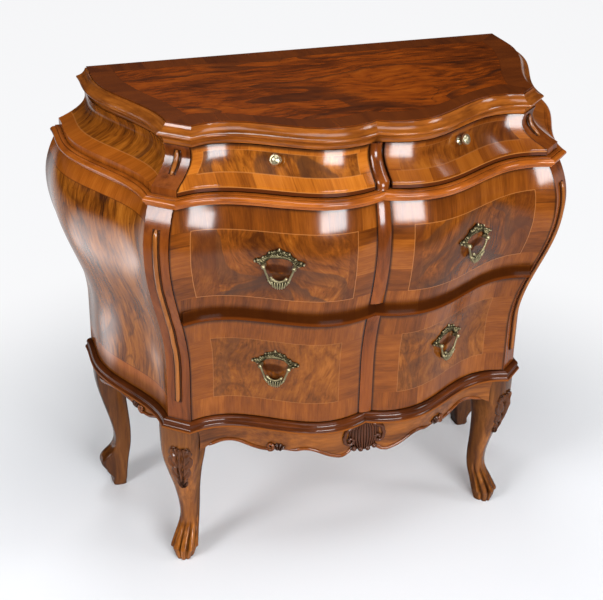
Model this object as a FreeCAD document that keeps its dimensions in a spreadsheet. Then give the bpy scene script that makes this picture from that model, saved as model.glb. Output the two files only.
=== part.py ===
"""Bombe chest with two frieze drawers and two long drawers.

Millimetres, +Z up, the front faces -Y. The origin is on the floor under the middle of the case.
Depths are measured forward from the back plane, half widths outward from the middle plane.
"""
import FreeCAD, Part
import math
import os
from types import SimpleNamespace

from FreeCAD import Placement, Rotation, Vector

SIZES = (
    # Heights, from the floor up
    ("leg_height", 300),
    ("base_thickness", 18),
    ("lower_front_height", 203),
    ("upper_front_height", 213),
    ("waist_thickness", 16),
    ("neck_height", 66),
    ("top_thickness", 34),
    # Plan of the slim foot of the body
    ("body_depth", 329),
    ("body_half_width", 406.5),
    ("corner_inset", 77),
    ("corner_lag", 0.33),
    ("cant_width", 33),
    ("cant_depth", 21),
    ("side_straight", 70),
    # Wave of the front: a lobe on each side of a crease, then a hollow before the corner
    ("wave_depth", 76),
    ("crease_depth", 16),
    ("lobe_offset", 64),
    ("hollow_offset", 258),
    # Swell of the body, and how the neck, ledge and top stand to its foot
    ("belly_front", 49),
    ("belly_side", 61),
    ("hollow_height", 94),
    ("belly_height", 342),
    ("shoulder_in", 17),
    ("ledge_front", 32),
    ("ledge_side", 31.5),
    ("ledge_edge", 12),
    ("cove_height", 38),
    ("neck_in_front", 5),
    ("neck_in_side", 16.5),
    ("neck_lip", 3),
    ("top_in_front", 7),
    ("top_in_side", 21.5),
    # Walls and mouldings
    ("body_wall", 20),
    ("neck_wall", 18),
    ("divider_half", 12),
    ("back_thickness", 8),
    ("dust_thickness", 12),
    ("top_moulding_out", 18),
    ("waist_moulding_out", 16),
    ("base_moulding_out", 12),
    ("lip_out", 12),
    ("lip_nose", 1.5),
    ("lip_height", 24),
    ("glue_gap", 0.4),
    # Beads
    ("bead_half", 11),
    ("bead_edge", 1),
    ("bead_seat", 3),
    ("bead_proud", 8),
    ("neck_bead_proud", 9),
    ("post_bead_half", 4),
    ("post_bead_proud", 4),
    ("post_bead_margin", 34),
    ("pellet_half", 3.5),
    ("pellet_length", 34),
    # Legs and apron
    ("leg_width", 80),
    ("front_leg_x", 300),
    ("front_leg_depth", 290),
    ("leg_turn", 43),
    ("back_leg_x", 380),
    ("back_leg_depth", 26),
    ("back_leg_thickness", 44),
    ("apron_height", 64),
    ("side_apron_height", 46),
    ("apron_thickness", 18),
    ("apron_inset", 6),
    ("back_rail_height", 45),
    ("shell_half", 36),
    ("shell_proud", 12),
    # Drawers
    ("drawer_gap", 1.5),
    ("slide_gap", 0.3),
    ("guide_gap", 0.8),
    ("guide_width", 18),
    ("guide_height", 16),
    ("box_half_width", 272),
    ("box_wall", 11),
    ("box_bottom", 7),
    ("box_head_room", 14),
    ("box_back_gap", 20),
    ("frieze_box_outer", 252),
    ("frieze_head_room", 5),
    # Handles and knobs
    ("upper_handle_offset", 168),
    ("lower_handle_offset", 156),
    ("upper_handle_height", 119),
    ("lower_handle_height", 108),
    ("handle_half", 40),
    ("crest_height", 30),
    ("plate_thickness", 3.5),
    ("pivot_half", 26),
    ("pivot_out", 8),
    ("pin_radius", 1.5),
    ("pin_clearance", 0.25),
    ("lug_half", 3.5),
    ("bail_radius", 2),
    ("bail_drop", 43),
    ("bail_side_gap", 0.5),
    ("grip_half", 19),
    ("grip_height", 19),
    ("grip_hollow", 5),
    ("grip_thickness", 6),
    ("post_radius", 2),
    ("post_length", 12),
    ("post_clearance", 0.15),
    ("knob_offset", 155),
    ("knob_height", 43),
    ("knob_radius", 9),
    ("knob_length", 19),
    ("knob_neck", 4),
    ("rose_radius", 7.5),
    ("rose_thickness", 2.5),
)

# Places along the plan: the front from the crease to the corner, the side from the corner to the back
FRONT_STATIONS = (0.07, 0.14, 0.21, 0.3, 0.4, 0.5, 0.6, 0.7, 0.79, 0.87, 0.94, 1.0)
SIDE_STATIONS = (0.0, 0.08, 0.17, 0.27, 0.37, 0.48, 0.6, 0.73, 0.86, 1.0)
PROFILE_STEPS = 10
MITRE = math.tan(math.pi / 8)
SHAVING = 0.0001
# An outline this many swells out lies clear before the whole front
FAR_SHARE = 6

# Cabriole legs from the floor up, as shares of the leg's height and width:
# height, how far out the middle lies, half width across, half width outward
FRONT_LEG_FORM = (
    (0.00, 0.06, 0.22, 0.25),
    (0.035, 0.05, 0.30, 0.32),
    (0.085, 0.04, 0.34, 0.34),
    (0.155, -0.07, 0.28, 0.28),
    (0.24, -0.21, 0.22, 0.22),
    (0.34, -0.22, 0.22, 0.22),
    (0.49, -0.13, 0.28, 0.28),
    (0.64, -0.02, 0.39, 0.38),
    (0.74, 0.02, 0.47, 0.44),
    (0.85, 0.00, 0.51, 0.45),
    (1.00, -0.04, 0.50, 0.43),
)
BACK_LEG_FORM = (
    (0.00, -0.09, 0.42, 0.16),
    (0.13, -0.02, 0.44, 0.29),
    (0.20, -0.01, 0.42, 0.34),
    (0.265, -0.15, 0.40, 0.24),
    (0.33, -0.22, 0.39, 0.195),
    (0.42, -0.21, 0.40, 0.21),
    (0.57, -0.12, 0.44, 0.26),
    (0.71, -0.03, 0.48, 0.31),
    (0.82, 0.01, 0.50, 0.345),
    (1.00, -0.06, 0.50, 0.35),
)
FRONT_LEG_SQUARENESS = 2.7
BACK_LEG_SQUARENESS = 5.0
LEG_RINGS = 26

# Lower edges of the aprons: place along the plan, and drop as a share of the apron's full height
FRONT_APRON_EDGE = (
    (0.0, 0.74), (0.05, 0.77), (0.095, 0.93), (0.14, 1.0), (0.21, 0.90), (0.28, 0.74), (0.345, 0.64), (0.42, 0.70),
    (0.50, 0.76), (0.58, 0.79), (0.67, 0.70), (0.76, 0.58), (0.85, 0.64), (0.93, 0.80), (0.98, 0.9),
)
SIDE_APRON_EDGE = (
    (0.0, 0.60), (0.10, 0.50), (0.165, 0.47), (0.215, 0.54), (0.26, 0.67), (0.31, 0.70), (0.36, 0.64), (0.41, 0.56),
    (0.46, 0.43), (0.525, 0.36), (0.59, 0.41), (0.66, 0.54), (0.73, 0.72), (0.80, 0.90), (0.87, 1.0), (0.93, 1.0),
)

doc = FreeCAD.newDocument("BombeChest")
sheet = doc.addObject("Spreadsheet::Sheet", "Sizes")
for row, (alias, value) in enumerate(SIZES, 1):
    sheet.set(f"A{row}", alias)
    sheet.set(f"B{row}", str(value))
    sheet.setAlias(f"B{row}", alias)
doc.recompute()
s = SimpleNamespace(**{alias: float(sheet.get(alias)) for alias, _ in SIZES})

# Heights of the joints between the storeys
base_z = s.leg_height
floor_z = base_z + s.base_thickness
mid_z = floor_z + s.lower_front_height
waist_z = mid_z + s.upper_front_height
neck_z = waist_z + s.waist_thickness
top_z = neck_z + s.neck_height
crown_z = top_z + s.top_thickness
belly_z = floor_z + s.belly_height
back_y = (s.body_depth + s.belly_front + s.wave_depth) / 2

# The same heights for expressions
FLOOR_Z = "Sizes.leg_height + Sizes.base_thickness"
MID_Z = FLOOR_Z + " + Sizes.lower_front_height"
WAIST_Z = MID_Z + " + Sizes.upper_front_height"
NECK_Z = WAIST_Z + " + Sizes.waist_thickness"
TOP_Z = NECK_Z + " + Sizes.neck_height"
BACK_Y = "(Sizes.body_depth + Sizes.belly_front + Sizes.wave_depth) / 2"
BOX_BACK_Y = f"{BACK_Y} - Sizes.back_thickness - Sizes.box_back_gap"

parts = {}


def add_part(name, shape):
    """Keeps a shape as a sub-part under its name."""
    feature = doc.addObject("Part::Feature", name)
    feature.Shape = shape
    feature.Label = name
    parts[name] = feature
    return feature


def one_solid(shape):
    """The single solid that a boolean should leave, without shavings."""
    solids = sorted(shape.Solids, key=lambda solid: solid.Volume, reverse=True)
    if not solids or any(solid.Volume > SHAVING * solids[0].Volume for solid in solids[1:]):
        raise ValueError(f"expected one solid, found {len(solids)}")
    return solids[0]


def mirrored(shape):
    """The same piece on the other side of the middle plane."""
    return shape.mirror(Vector(0, 0, 0), Vector(1, 0, 0))


# Plan outlines

def plan_level(front, back):
    """One plan outline, from the depth of its front hollow and its half width at the back."""
    side = back - s.corner_inset - s.corner_lag * (back - s.body_half_width)
    return SimpleNamespace(front=front, back=back, side=side, edge=side - s.cant_width,
                           corner=front - s.cant_depth)


def blended(low, high, share):
    """The outline a share of the way from one outline to another."""
    mixed = {key: value + share * (vars(high)[key] - value) for key, value in vars(low).items()}
    return SimpleNamespace(**mixed)


def grown(level, out):
    """The outline moved outward all round, mitred at the canted corners."""
    return SimpleNamespace(front=level.front + out, back=level.back + out, side=level.side + out,
                           edge=level.edge + MITRE * out, corner=level.corner + MITRE * out)


slim = plan_level(s.body_depth, s.body_half_width)
full = plan_level(s.body_depth + s.belly_front, s.body_half_width + s.belly_side)
ledge = plan_level(s.body_depth + s.ledge_front, s.body_half_width + s.ledge_side)
neck = plan_level(s.body_depth - s.neck_in_front, s.body_half_width - s.neck_in_side)
crown = plan_level(s.body_depth - s.top_in_front, s.body_half_width - s.top_in_side)


def wave(place):
    """How far the front stands before its hollow, from the crease (0) to the corner (1)."""
    lobe = s.lobe_offset / slim.edge
    hollow = s.hollow_offset / slim.edge
    if place < lobe:
        return s.wave_depth - s.crease_depth * (1 - place / lobe) ** 2
    return s.wave_depth / 2 * (1 + math.cos(math.pi * (place - lobe) / (hollow - lobe)))


def side_swing(place):
    """Share of the way out from the corner's half width to the back's."""
    start = s.side_straight / slim.corner
    turn = max(0, (1 - place - start) / (1 - start))
    return (1 + math.cos(math.pi * turn)) / 2


def front_point(level, place, z, gap=0):
    """A point of the front on an outline, on the right half."""
    return Vector(place * (level.edge - gap), back_y - level.front - wave(place), z)


def side_point(level, place, z):
    """A point of the right side on an outline."""
    x = level.side + (level.back - level.side) * side_swing(place)
    return Vector(x, back_y - level.corner * (1 - place), z)


def belly_share(z):
    """Swell of the body at a height: 0 at its foot, 1 at the belly."""
    hollow = floor_z + s.hollow_height
    if z < hollow:
        return 0
    if z < belly_z:
        return (1 - math.cos(math.pi * (z - hollow) / (belly_z - hollow))) / 2
    return 1 - s.shoulder_in / s.belly_front * ((z - belly_z) / (waist_z - belly_z)) ** 2


def body_level(z, inset=0):
    """Outline of the body at a height, or of its inner face when inset by the wall."""
    return blended(slim, full, belly_share(z) - inset / s.belly_front)


cove_z = neck_z + s.ledge_edge
cove_top_z = cove_z + s.cove_height
NECK_FLARE = s.ledge_front + s.neck_in_front


def neck_share(z):
    """Flare of the neck: 1 on the ledge, 0 at its slimmest."""
    if z <= cove_z:
        return 1
    if z < cove_top_z:
        return ((cove_top_z - z) / s.cove_height) ** 2
    return s.neck_lip / NECK_FLARE * ((z - cove_top_z) / (top_z - cove_top_z)) ** 2


def neck_level(z):
    """Outline of the neck at a height."""
    return blended(neck, ledge, neck_share(z))


# Curves, wires and lofts

def run_edge(points):
    """A line through two points, or a smooth curve through more."""
    if len(points) == 2:
        return Part.makeLine(points[0], points[1])
    curve = Part.BSplineCurve()
    curve.interpolate(points)
    return curve.toShape()


def closed_wire(*runs):
    """A closed wire of runs, each starting where the last one ends."""
    return Part.Wire([run_edge(run) for run in runs])


def spaced(low, high, steps=PROFILE_STEPS):
    """Even heights from low to high."""
    return [low + (high - low) * step / steps for step in range(steps + 1)]


def body_wire(place, heights, outer=None):
    """Section of the body's wall; place puts an outline and height into the plan."""
    face = [place(outer or body_level(z), z) for z in heights]
    inner = [place(body_level(z, s.body_wall), z) for z in reversed(heights)]
    return closed_wire(face, [face[-1], inner[0]], inner, [inner[-1], face[0]])


def neck_wire(place, low, high):
    """Section of the neck's wall: the ledge's edge, the cove above it and a straight inner face."""
    inside = blended(neck, ledge, -s.neck_wall / NECK_FLARE)
    edge = [place(ledge, low), place(ledge, cove_z)]
    cove = [place(neck_level(z), z) for z in spaced(cove_z, high)]
    inner_top = place(inside, high)
    inner_low = place(inside, low)
    return closed_wire(edge, cove, [cove[-1], inner_top], [inner_top, inner_low], [inner_low, edge[0]])


def at_front(place, gap=0):
    return lambda level, z: front_point(level, place, z, gap)


def at_side(place):
    return lambda level, z: side_point(level, place, z)


def loft(wires, ruled=False):
    return Part.makeLoft(wires, True, ruled)


def plan_face(level, z):
    """The whole outline as a face: front halves, cants, sides and back."""
    front = [front_point(level, place, z) for place in (0.0,) + FRONT_STATIONS]
    side = [side_point(level, place, z) for place in SIDE_STATIONS]
    right = [run_edge(front), Part.makeLine(front[-1], side[0]), run_edge(side)]
    left = [mirrored(edge) for edge in right]
    back = Part.makeLine(side[-1], left[2].Vertexes[-1].Point)
    return Part.Face(Part.Wire(Part.__sortEdges__(right + left + [back])))


def board_on_plan(name, level, low, high):
    add_part(name, plan_face(level, low).extrude(Vector(0, 0, high - low)))


# Case boards

board_on_plan("bottom_board", slim, base_z, floor_z)
board_on_plan("waist_board", ledge, waist_z, neck_z)
board_on_plan("top_board", crown, top_z, crown_z)
dust_low = mid_z - s.dust_thickness / 2
dust_high = mid_z + s.dust_thickness / 2
dust_level = body_level(dust_low, s.body_wall + s.drawer_gap)
dust_plan = plan_face(dust_level, dust_low).extrude(Vector(0, 0, s.dust_thickness))
behind = Part.makeBox(2 * full.back, s.back_thickness, s.dust_thickness,
                      Vector(-full.back, back_y - s.back_thickness, dust_low))
add_part("dust_board", one_solid(dust_plan.cut(behind)))

# Body walls and canted corner posts

wall_heights = spaced(floor_z, waist_z, 2 * PROFILE_STEPS)
side_panel = loft([body_wire(at_side(place), wall_heights) for place in SIDE_STATIONS])
corner_post = loft([body_wire(at_front(1), wall_heights), body_wire(at_side(0), wall_heights)], True)
add_part("side_panel_right", side_panel)
add_part("side_panel_left", mirrored(side_panel))
add_part("corner_post_right", corner_post)
add_part("corner_post_left", mirrored(corner_post))

# Neck walls and canted corner blocks

neck_side = loft([neck_wire(at_side(place), neck_z, top_z) for place in SIDE_STATIONS])
neck_corner = loft([neck_wire(at_front(1), neck_z, top_z), neck_wire(at_side(0), neck_z, top_z)], True)
add_part("neck_side_right", neck_side)
add_part("neck_side_left", mirrored(neck_side))
add_part("neck_corner_right", neck_corner)
add_part("neck_corner_left", mirrored(neck_corner))

# Back panels, set in between the side walls


def back_wall(name, heights, half_width, wall):
    """A flat back whose sides follow the inner faces of the walls."""
    y = back_y - s.back_thickness
    right = [Vector(half_width(z), y, z) for z in heights]
    left = [Vector(-point.x, y, point.z) for point in reversed(right)]
    wire = closed_wire(right, [right[-1], left[0]], left, [left[-1], right[0]])
    panel = Part.Face(wire).extrude(Vector(0, s.back_thickness, 0))
    add_part(name, one_solid(panel.cut([wall, mirrored(wall)])))


back_wall("back_panel", wall_heights, lambda z: body_level(z, s.body_wall).back - s.glue_gap, side_panel)
neck_inside = blended(neck, ledge, -s.neck_wall / NECK_FLARE)
back_wall("neck_back", [neck_z, top_z], lambda z: neck_inside.back - s.glue_gap, neck_side)

# Mouldings, mitred at the crease and the canted corners


def moulding(name, level, runs):
    """Six strips round the front and sides; runs give the profile as outward and height."""
    def wire(plan_point, place):
        return closed_wire(*[[plan_point(grown(level, out), place, z) for out, z in run] for run in runs])

    front = loft([wire(front_point, place) for place in (0.0,) + FRONT_STATIONS])
    cant = loft([wire(front_point, 1), wire(side_point, 0)], True)
    side = loft([wire(side_point, place) for place in SIDE_STATIONS])
    strips = [front, cant, side]
    add_part(name, Part.makeCompound(strips + [mirrored(strip) for strip in strips]))


def top_profile():
    """A quirk under the top's edge, a cove out to the nose and an undercut below it."""
    out, high, seat = s.top_moulding_out, s.top_thickness, s.glue_gap
    nose = top_z + 0.5 * high
    quirk = top_z + 0.93 * high
    cove = [(0.1 * out, quirk), (0.28 * out, top_z + 0.75 * high), (0.6 * out, top_z + 0.62 * high),
            (0.93 * out, top_z + 0.57 * high)]
    round_nose = [cove[-1], (out, nose), (0.93 * out, top_z + 0.43 * high)]
    under = [round_nose[-1], (0.6 * out, top_z + 0.36 * high), (0.36 * out, top_z + 0.2 * high),
             (0.3 * out, top_z)]
    return ([(seat, quirk), cove[0]], cove, round_nose, under, [under[-1], (seat, top_z)],
            [(seat, top_z), (seat, quirk)])


def waist_profile():
    """A small step under the ledge, a full round nose and a cove back to the body."""
    out, high, seat = s.waist_moulding_out, s.waist_thickness, s.glue_gap
    step = [(0.45 * out, neck_z), (0.45 * out, waist_z + 0.86 * high)]
    nose = [step[-1], (0.8 * out, waist_z + 0.82 * high), (out, waist_z + 0.58 * high),
            (0.9 * out, waist_z + 0.33 * high), (0.78 * out, waist_z + 0.26 * high)]
    foot = [nose[-1], (0.7 * out, waist_z + 0.1 * high), (0.66 * out, waist_z)]
    return ([(seat, neck_z), step[0]], step, nose, foot, [foot[-1], (seat, waist_z)],
            [(seat, waist_z), (seat, neck_z)])


def base_profile():
    """A round shoulder, a hollow below it and a thin lower lip."""
    out, high, seat = s.base_moulding_out, s.base_thickness, s.glue_gap
    shoulder = [(0.1 * out, floor_z), (0.5 * out, base_z + 0.93 * high), (0.74 * out, base_z + 0.7 * high),
                (0.7 * out, base_z + 0.48 * high)]
    hollow = [shoulder[-1], (0.74 * out, base_z + 0.36 * high), (0.98 * out, base_z + 0.2 * high)]
    lip = [hollow[-1], (out, base_z)]
    return ([(seat, floor_z), shoulder[0]], shoulder, hollow, lip, [lip[-1], (seat, base_z)],
            [(seat, base_z), (seat, floor_z)])


moulding("top_moulding", crown, top_profile())
moulding("waist_moulding", ledge, waist_profile())
moulding("base_moulding", slim, base_profile())

# Handles: each sits square to the curved front


def seat_frame(level_at, place, z):
    """Placement on the right front: X along the front, Z up the face, Y into the wood."""
    step = 0.01
    here = front_point(level_at(z), place, z)
    along = front_point(level_at(z), place + step, z) - front_point(level_at(z), place - step, z)
    rise = front_point(level_at(z + 1), place, z + 1) - front_point(level_at(z - 1), place, z - 1)
    along.normalize()
    rise = rise - along * rise.dot(along)
    return Placement(here, Rotation(along, Vector(0, 1, 0), rise, "XZY"))


def mirrored_frame(frame):
    """The same seat on the left half, with X still to the right."""
    along = frame.Rotation.multVec(Vector(1, 0, 0))
    rise = frame.Rotation.multVec(Vector(0, 0, 1))
    turned = Rotation(Vector(along.x, -along.y, -along.z), Vector(0, 1, 0), Vector(-rise.x, rise.y, rise.z), "XZY")
    return Placement(Vector(-frame.Base.x, frame.Base.y, frame.Base.z), turned)


upper_handle_z = mid_z + s.upper_handle_height
lower_handle_z = floor_z + s.lower_handle_height
knob_z = neck_z + s.knob_height


def both_seats(level_at, offset, z):
    right = seat_frame(level_at, offset / level_at(z).edge, z)
    return {"right": right, "left": mirrored_frame(right)}


upper_seats = both_seats(body_level, s.upper_handle_offset, upper_handle_z)
lower_seats = both_seats(body_level, s.lower_handle_offset, lower_handle_z)
knob_seats = both_seats(neck_level, s.knob_offset, knob_z)


def post_hole(frame):
    """Bore for a post that holds a handle or knob."""
    bore = Part.makeCylinder(s.post_radius + s.post_clearance, s.post_length + s.plate_thickness * 2,
                             Vector(0, -2 * s.plate_thickness, 0), Vector(0, 1, 0))
    bore.Placement = frame
    return bore


def handle_posts():
    """Places of the two posts of a handle, along its width."""
    return (-s.pivot_half, s.pivot_half)


def handle_holes(seats):
    holes = []
    for frame in seats.values():
        for x in handle_posts():
            holes.append(post_hole(frame * Placement(Vector(x, 0, 0), Rotation())))
    return holes


def handle_plate(frame, front):
    """Crest plate with two posts into the wood and two lugs that carry the bail."""
    half, rise, thick = s.handle_half, s.crest_height, s.plate_thickness
    top = [(-half, 0.02), (-0.78 * half, 0.42), (-0.42 * half, 0.62), (-0.2 * half, 0.74), (0, 1.0),
           (0.2 * half, 0.74), (0.42 * half, 0.62), (0.78 * half, 0.42), (half, 0.02)]
    under = [(half, 0.02), (0.72 * half, -0.08), (0.42 * half, 0.24), (0, 0.4), (-0.42 * half, 0.24),
             (-0.72 * half, -0.08), (-half, 0.02)]
    runs = [[Vector(x, -thick, share * rise) for x, share in run] for run in (top, under)]
    plate = Part.Face(closed_wire(*runs)).extrude(Vector(0, 2 * thick, 0))
    for x in handle_posts():
        reach = s.pivot_out + s.lug_half
        lug = Part.makeBox(2 * s.lug_half, reach, 2 * s.lug_half, Vector(x - s.lug_half, -reach, -s.lug_half))
        post = Part.makeCylinder(s.post_radius, s.post_length, Vector(x, -thick, 0), Vector(0, 1, 0))
        plate = plate.fuse([lug, post])
    eye = Part.makeCylinder(s.pin_radius + s.pin_clearance, 2 * s.handle_half,
                            Vector(-s.handle_half, -s.pivot_out, 0), Vector(1, 0, 0))
    plate = plate.cut(eye)
    plate.Placement = frame
    return one_solid(plate.cut(front))


def handle_bail(frame):
    """Swinging bail: two pins in the lugs, two arms and a fan-shaped grip hollow at its upper edge."""
    shoulder = s.pivot_half - s.lug_half - s.bail_radius - s.bail_side_gap
    y = -s.pivot_out
    half, high, drop = s.grip_half, s.grip_height, s.bail_drop
    upper = [(-half, high - drop), (0, high - s.grip_hollow - drop), (half, high - drop)]
    lower = [(half, high - drop), (0.7 * half, 0.3 * high - drop), (0, -drop), (-0.7 * half, 0.3 * high - drop),
             (-half, high - drop)]
    runs = [[Vector(x, y - s.grip_thickness / 2, z) for x, z in run] for run in (upper, lower)]
    grip = Part.Face(closed_wire(*runs)).extrude(Vector(0, s.grip_thickness, 0))
    pieces = []
    for sign in (-1, 1):
        elbow = Vector(sign * shoulder, y, 0)
        pin_length = s.pivot_half + s.lug_half - shoulder
        pin = Part.makeCylinder(s.pin_radius, pin_length, elbow, Vector(sign, 0, 0))
        reach = Vector(sign * 0.75 * half, y, 0.6 * high - drop) - elbow
        arm = Part.makeCylinder(s.bail_radius, reach.Length, elbow, reach)
        ball = Part.makeSphere(s.bail_radius, elbow)
        pieces += [pin, arm, ball]
    bail = grip.fuse(pieces)
    bail.Placement = frame
    return one_solid(bail)


# Drawers


def face_halves(wires):
    half = loft(wires)
    return half.fuse(mirrored(half))


def long_front(low, high):
    """Both lobes of a long drawer's front, between the posts."""
    heights = spaced(low, high)
    stations = (0.0,) + FRONT_STATIONS
    return face_halves([body_wire(at_front(place, s.drawer_gap), heights) for place in stations])


def front_space(low, high):
    """Everything before the inner face of a long front, to trim the drawer's boards."""
    heights = spaced(low, high)
    far = blended(slim, full, FAR_SHARE)
    stations = (0.0,) + FRONT_STATIONS
    space = face_halves([body_wire(at_front(place, s.drawer_gap), heights, far) for place in stations])
    return space.translated(Vector(0, s.glue_gap, 0))


def drawer_lip(low):
    """Flared lip along the foot of the upper front."""
    seat = body_level(low, s.body_wall / 2)
    foot = body_level(low)
    head = body_level(low + s.lip_height)
    rise = head.front - foot.front

    def wire(place):
        def point(out, z):
            return front_point(foot, place, z, s.drawer_gap) - Vector(0, out, 0)
        back = seat.front - foot.front
        nose = s.lip_nose
        tip = [point(s.lip_out - nose, low), point(s.lip_out, low + nose),
               point(s.lip_out - 0.7 * nose, low + 2.7 * nose)]
        flare = [tip[-1], point(0.5 * (s.lip_out + rise) - nose, low + 0.45 * s.lip_height),
                 point(rise - 0.3 * nose, low + s.lip_height)]
        top = point(back, low + s.lip_height)
        foot_back = point(back, low)
        return closed_wire(tip, flare, [flare[-1], top], [top, foot_back], [foot_back, tip[0]])

    heights = spaced(low - s.drawer_gap, low + s.lip_height + s.drawer_gap)
    post_room = loft([body_wire(at_front(1, s.drawer_gap), heights), body_wire(at_side(0), heights)], True)
    lip = face_halves([wire(place) for place in (0.0,) + FRONT_STATIONS])
    return one_solid(lip.cut([post_room, mirrored(post_room)]))


def bead_section(x, y_edge, y_front, y_back, z):
    """Half-round section of a vertical bead, square at the back."""
    rear_left, rear_right = Vector(-x, y_back, z), Vector(x, y_back, z)
    left, right = Vector(-x, y_edge, z), Vector(x, y_edge, z)
    bow = Part.Arc(left, Vector(0, y_front, z), right).toShape()
    return Part.Wire([Part.makeLine(rear_left, left), bow, Part.makeLine(right, rear_right),
                      Part.makeLine(rear_right, rear_left)])


def centre_bead(heights, front):
    """Bead that covers the crease of a long front."""
    wires = []
    for z in heights:
        level = body_level(z)
        edge = front_point(level, s.bead_half / level.edge, z).y - s.bead_edge
        crease = front_point(level, 0, z).y
        wires.append(bead_section(s.bead_half, edge, crease - s.bead_proud, crease + s.bead_seat, z))
    return one_solid(loft(wires).cut(front))


def box(name, length, width, height, x, y, z):
    """A plain board whose sizes and place are bound to the sheet."""
    board = doc.addObject("Part::Box", name)
    for key, value in (("Length", length), ("Width", width), ("Height", height)):
        board.setExpression(key, value)
    for key, value in (("x", x), ("y", y), ("z", z)):
        board.setExpression(f"Placement.Base.{key}", value)
    return board


def trimmed(name, board, tool):
    """A board cut to the inner face of its drawer's front."""
    cut = doc.addObject("Part::Cut", name)
    cut.Base = board
    cut.Tool = tool
    cut.Label = name
    parts[name] = cut


def drawer_box(drawer, left, right, low, high, tool):
    """Two sides, a back and a bottom behind a front; all places are expressions."""
    reach = f"{BACK_Y} * 2 - Sizes.back_thickness - Sizes.box_back_gap"
    start_y = f"{BOX_BACK_Y} - ({reach})"
    tall = f"{high} - ({low})"
    inner = f"{right} - ({left}) - 2 * Sizes.box_wall"
    for hand, x in (("left", left), ("right", f"{right} - Sizes.box_wall")):
        board = box(f"{drawer}_{hand}_board", "Sizes.box_wall", reach, tall, x, start_y, low)
        trimmed(f"{drawer}_side_{hand}", board, tool)
    floor = box(f"{drawer}_floor_board", inner, f"{reach} - Sizes.box_wall", "Sizes.box_bottom",
                f"{left} + Sizes.box_wall", start_y, low)
    trimmed(f"{drawer}_bottom", floor, tool)
    back = box(f"{drawer}_back", inner, "Sizes.box_wall", tall, f"{left} + Sizes.box_wall",
               f"{BOX_BACK_Y} - Sizes.box_wall", low)
    parts[f"{drawer}_back"] = back


def long_drawer(drawer, low, high, seats, box_low, box_high, lip=False):
    """A long drawer with its bead, box, handle plates and bails."""
    front = long_front(low, high)
    if lip:
        front = front.fuse(drawer_lip(low))
    front = one_solid(front.cut(handle_holes(seats)))
    add_part(f"{drawer}_front", front)
    bead_low = low + s.lip_height if lip else low
    add_part(f"{drawer}_bead", centre_bead(spaced(bead_low, high), front))
    tool = doc.addObject("Part::Feature", f"{drawer}_front_space")
    tool.Shape = front_space(low - s.drawer_gap, high + s.drawer_gap)
    drawer_box(drawer, "-Sizes.box_half_width", "Sizes.box_half_width", box_low, box_high, tool)
    plates = [handle_plate(frame, front) for frame in seats.values()]
    add_part(f"{drawer}_handle_plates", Part.makeCompound(plates))
    for hand, frame in seats.items():
        add_part(f"{drawer}_bail_{hand}", handle_bail(frame))


DUST_TOP = f"{MID_Z} + Sizes.dust_thickness / 2"
DUST_FOOT = f"{MID_Z} - Sizes.dust_thickness / 2"
long_drawer("upper_drawer", mid_z + s.drawer_gap, waist_z - s.drawer_gap, upper_seats,
            f"{DUST_TOP} + Sizes.slide_gap", f"{WAIST_Z} - Sizes.box_head_room", lip=True)
long_drawer("lower_drawer", floor_z + s.drawer_gap, mid_z - s.drawer_gap, lower_seats,
            f"{FLOOR_Z} + Sizes.slide_gap", f"{DUST_FOOT} - Sizes.box_head_room")


def knob(name, frame, front):
    """Turned knob seated on the curved face: post, rose, neck and a flattened ball."""
    def turned(kind, label, sizes, z):
        piece = doc.addObject(kind, f"{name}_{label}")
        for key, value in sizes:
            piece.setExpression(key, value)
        piece.setExpression("Placement.Base.z", z)
        return piece

    flat = "Sizes.knob_radius * 0.7"
    ball_sizes = (("Radius1", flat), ("Radius2", "Sizes.knob_radius"), ("Radius3", "Sizes.knob_radius"))
    fused = doc.addObject("Part::MultiFuse", f"{name}_blank")
    fused.Shapes = [
        turned("Part::Cylinder", "post", (("Radius", "Sizes.post_radius"), ("Height", "Sizes.post_length")),
               "-Sizes.post_length"),
        turned("Part::Cylinder", "rose", (("Radius", "Sizes.rose_radius"), ("Height", "2 * Sizes.rose_thickness")),
               "-Sizes.rose_thickness"),
        turned("Part::Cylinder", "neck", (("Radius", "Sizes.knob_neck"), ("Height", f"Sizes.knob_length - {flat}")),
               "0"),
        turned("Part::Ellipsoid", "ball", ball_sizes, f"Sizes.knob_length - {flat}"),
    ]
    fused.Placement = frame * Placement(Vector(0, 0, 0), Rotation(Vector(1, 0, 0), 90))
    trimmed(name, fused, front)


def frieze_stations():
    """Places along a frieze drawer, from the divider to the corner."""
    start = (s.divider_half + s.drawer_gap) / neck.edge
    return (start,) + FRONT_STATIONS[1:]


def frieze_front(low, high):
    return loft([neck_wire(at_front(place, s.drawer_gap), low, high) for place in frieze_stations()])


def frieze_space(low, high):
    """Everything before the inner face of a frieze front, to trim the drawer's boards."""
    far = blended(neck, ledge, FAR_SHARE)

    def wire(place):
        corners = [front_point(level, place, z, s.drawer_gap) for level, z in
                   ((neck_inside, low), (far, low), (far, high), (neck_inside, high))]
        return Part.makePolygon(corners + corners[:1])

    space = loft([wire(place) for place in (0.0,) + FRONT_STATIONS])
    return space.translated(Vector(0, s.glue_gap, 0))


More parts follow.
